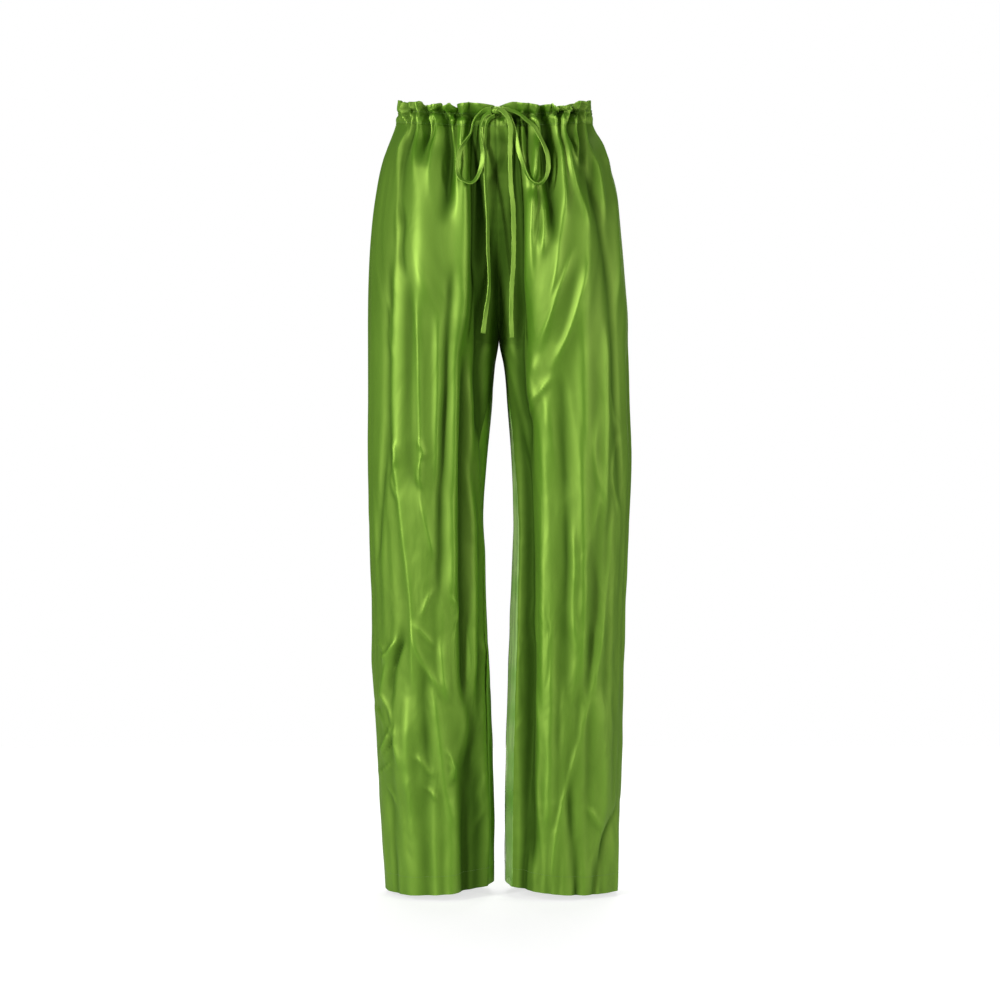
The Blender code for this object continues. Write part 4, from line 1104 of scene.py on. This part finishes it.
def tie(name, route, turns, material):
    """A flat tie along a route, a rounded rectangle in section, with a stitched ridge on each edge."""
    line, length = smooth_line(route, TIE_STEP)
    ahead = np.gradient(line, axis=0)
    ahead /= np.linalg.norm(ahead, axis=1, keepdims=True)
    facing = np.array([0.0, -1.0, 0.0]) - ahead * (ahead @ np.array([0.0, -1.0, 0.0]))[:, None]
    facing /= np.linalg.norm(facing, axis=1, keepdims=True)
    beside = np.cross(ahead, facing)
    share = np.linspace(0.0, 1.0, len(line))
    turn = np.radians(through(np.linspace(0.0, -1.0, len(turns)), turns, -share))[:, None]
    flat = beside * np.cos(turn) + facing * np.sin(turn)
    thick = facing * np.cos(turn) - beside * np.sin(turn)
    half, deep = TIE_WIDTH / 2, TIE_THICK / 2
    section = np.array([
        (-1.0, 0.0), (-0.94, 0.75), (-0.8, 1.0), (-0.62, 0.72), (-0.2, 0.86), (0.2, 0.86), (0.62, 0.72),
        (0.8, 1.0), (0.94, 0.75), (1.0, 0.0), (0.94, -0.75), (0.8, -1.0), (0.62, -0.72), (0.2, -0.86),
        (-0.2, -0.86), (-0.62, -0.72), (-0.8, -1.0), (-0.94, -0.75),
    ])
    wobble = 1.0 + 0.05 * np.sin(share * length / 4.1) + 0.04 * np.sin(share * length / 1.7 + 1.0)
    rings = line[:, None] + half * wobble[:, None, None] * section[None, :, :1] * flat[:, None]
    rings = rings + deep * section[None, :, 1:] * thick[:, None]
    count, sides = rings.shape[:2]
    index = np.arange(count * sides).reshape(count, sides)
    around = np.roll(index, -1, axis=1)
    quads = np.stack([index[:-1], index[1:], around[1:], around[:-1]], axis=-1).reshape(-1, 4)
    caps = []
    for ring, flip in ((index[0], False), (index[-1], True)):
        for k in range(sides // 2 - 1):
            quad = [ring[k], ring[k + 1], ring[sides - k - 2], ring[sides - k - 1]]
            caps.append(quad[::-1] if flip else quad)
    faces = np.concatenate([quads, np.array(caps)])
    middle = rings[count // 2, 0]
    normal = np.cross(rings[count // 2 + 1, 0] - middle, rings[count // 2, 1] - middle)
    if normal @ (middle - line[count // 2]) < 0:
        faces = faces[:, ::-1]
    across_tie, down_tie = section[None, :, 0] * half * MM, (share * length)[:, None] * MM
    uv = np.stack(np.broadcast_arrays(across_tie, down_tie), axis=-1)
    made = mesh_piece(name, rings.reshape(-1, 3), faces, uv.reshape(-1, 2), material)
    return made, line, length


tie_satin = satin("tie_satin", (0.085, 0.20, 0.018, 1.0), (0.065, 0.165, 0.012, 1.0), 1.4)
for name, route in TIE_ROUTES.items():
    piece, line, length = tie(name + "_tie", route, TIE_TURNS[name], tie_satin)
    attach(piece, "root")
    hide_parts(name)


# Bow knot
# The tie wrapped once round the two loops and drawn tight: a small cushion of cloth with creases running
# over it from top to foot.
KNOT_PLACE = (-3.0, -90.7, 0.8)
KNOT_SIZE = (13.0, 9.0, 10.0)

turns = np.linspace(0.0, 2 * np.pi, 49)[:-1]
widths = np.linspace(-1.0, 1.0, 25)
rim = np.sqrt(np.clip(1.0 - np.abs(widths) ** 3.2, 0.0, 1.0))
creased = 1.0 + 0.05 * np.cos(widths * 9.0) + 0.03 * np.cos(widths * 17.0 + 0.8)
ring_y = -np.cos(turns)[None, :] * (rim * creased)[:, None] * KNOT_SIZE[1] / 2
ring_z = np.sin(turns)[None, :] * (rim * creased)[:, None] * KNOT_SIZE[2] / 2
tilt = 0.8 * np.sin(turns)[None, :]
ring_x = widths[:, None] * KNOT_SIZE[0] / 2 + tilt * rim[:, None]
knot_points = np.stack([ring_x, ring_y, ring_z], axis=-1) + np.array(KNOT_PLACE)
knot_index = np.arange(knot_points.shape[0] * knot_points.shape[1]).reshape(knot_points.shape[:2])
knot_next = np.roll(knot_index, -1, axis=1)
knot_faces = np.stack([knot_index[:-1], knot_next[:-1], knot_next[1:], knot_index[1:]], axis=-1)
knot_uv = np.stack(np.broadcast_arrays(widths[:, None] * 0.006, turns[None, :] * 0.005), axis=-1)
knot = mesh_piece(
    "bow_knot_wrap", knot_points.reshape(-1, 3), knot_faces.reshape(-1, 4), knot_uv.reshape(-1, 2), tie_satin
)
knot.data.validate()
# each end's ring of points has no width, so it is closed to one point
closing = bmesh.new()
closing.from_mesh(knot.data)
bmesh.ops.remove_doubles(closing, verts=closing.verts, dist=0.00001)
bmesh.ops.recalc_face_normals(closing, faces=closing.faces)
closing.to_mesh(knot.data)
closing.free()
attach(knot, "root")
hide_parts("bow_knot")


# Studio
# A white floor that fades into a white surround, and soft lights: a tall one at each side of the front,
# strips level with the object, a low one behind and one above the floor.
FLOOR_HEIGHT = -1.052
FLOOR_FRONT, FLOOR_BACK, FLOOR_SIDE = -1.0, 1.6, 1.7

paper = bpy.data.materials.new("floor_paper")
paper.use_nodes = True
paper_shader = paper.node_tree.nodes["Principled BSDF"]
for title, value in (
    ("Base Color", (0.45, 0.45, 0.45, 1.0)), ("Roughness", 0.9), ("Specular IOR Level", 0.0),
    ("Emission Color", (1.0, 1.0, 1.0, 1.0)),
):
    paper_shader.inputs[title].default_value = value


def seen_or_not(tree, unseen, seen):
    """One strength for what the camera sees and another for the light that falls on the object."""
    looked_at = add_node(tree, "ShaderNodeLightPath").outputs["Is Camera Ray"]
    return ranged(tree, looked_at, (0.0, 1.0), (unseen, seen))


paper.node_tree.links.new(seen_or_not(paper.node_tree, 0.18, 0.70), paper_shader.inputs["Emission Strength"])
floor_mesh = bpy.data.meshes.new("floor")
corners = [
    (-FLOOR_SIDE, FLOOR_FRONT, FLOOR_HEIGHT), (FLOOR_SIDE, FLOOR_FRONT, FLOOR_HEIGHT),
    (FLOOR_SIDE, FLOOR_BACK, FLOOR_HEIGHT), (-FLOOR_SIDE, FLOOR_BACK, FLOOR_HEIGHT),
]
floor_mesh.from_pydata(corners, [], [(0, 1, 2, 3)])
floor_mesh.materials.append(paper)
studio_floor = bpy.data.objects.new("floor", floor_mesh)
bpy.context.scene.collection.objects.link(studio_floor)

# Each light's name, place, aim, width, height and watts.
LIGHT_ROWS = (
    ("left_softbox", (-2.35, -2.65, 0.42), (0.0, 0.0, -0.38), 0.45, 2.4, 113.0),
    ("right_softbox", (2.5, -2.3, 0.38), (0.0, 0.0, -0.38), 0.45, 2.4, 44.0),
    ("front_softbox", (0.5, -3.6, 0.9), (0.0, 0.0, -0.3), 0.6, 1.2, 5.0),
    ("left_strip", (-3.3, -0.5, -0.2), (0.0, 0.0, -0.25), 0.4, 1.4, 9.0),
    ("right_strip", (3.3, -0.3, -0.2), (0.0, 0.0, -0.25), 0.4, 1.4, 17.0),
    ("back_softbox", (0.5, 3.6, 0.6), (0.0, 0.0, -0.45), 1.2, 2.2, 40.0),
    ("floor_light", (0.0, 1.0, 1.4), (0.0, 0.6, -1.0), 1.6, 0.8, 34.0),
)
for name, place, aim, width, height, watts in LIGHT_ROWS:
    lamp = bpy.data.lights.new(name, "AREA")
    lamp.shape = "RECTANGLE"
    lamp.size, lamp.size_y, lamp.energy = width, height, watts
    holder = bpy.data.objects.new(name, lamp)
    holder.location = place
    holder.rotation_euler = (Vector(aim) - Vector(place)).to_track_quat("-Z", "Y").to_euler()
    holder.visible_camera = False
    bpy.context.scene.collection.objects.link(holder)
world = bpy.data.worlds.new("studio")
world.use_nodes = True
background = world.node_tree.nodes["Background"]
background.inputs["Color"].default_value = (1.0, 1.0, 1.0, 1.0)
world.node_tree.links.new(seen_or_not(world.node_tree, 0.04, 1.0), background.inputs["Strength"])
bpy.context.scene.world = world
bpy.context.scene.view_settings.view_transform = "Standard"
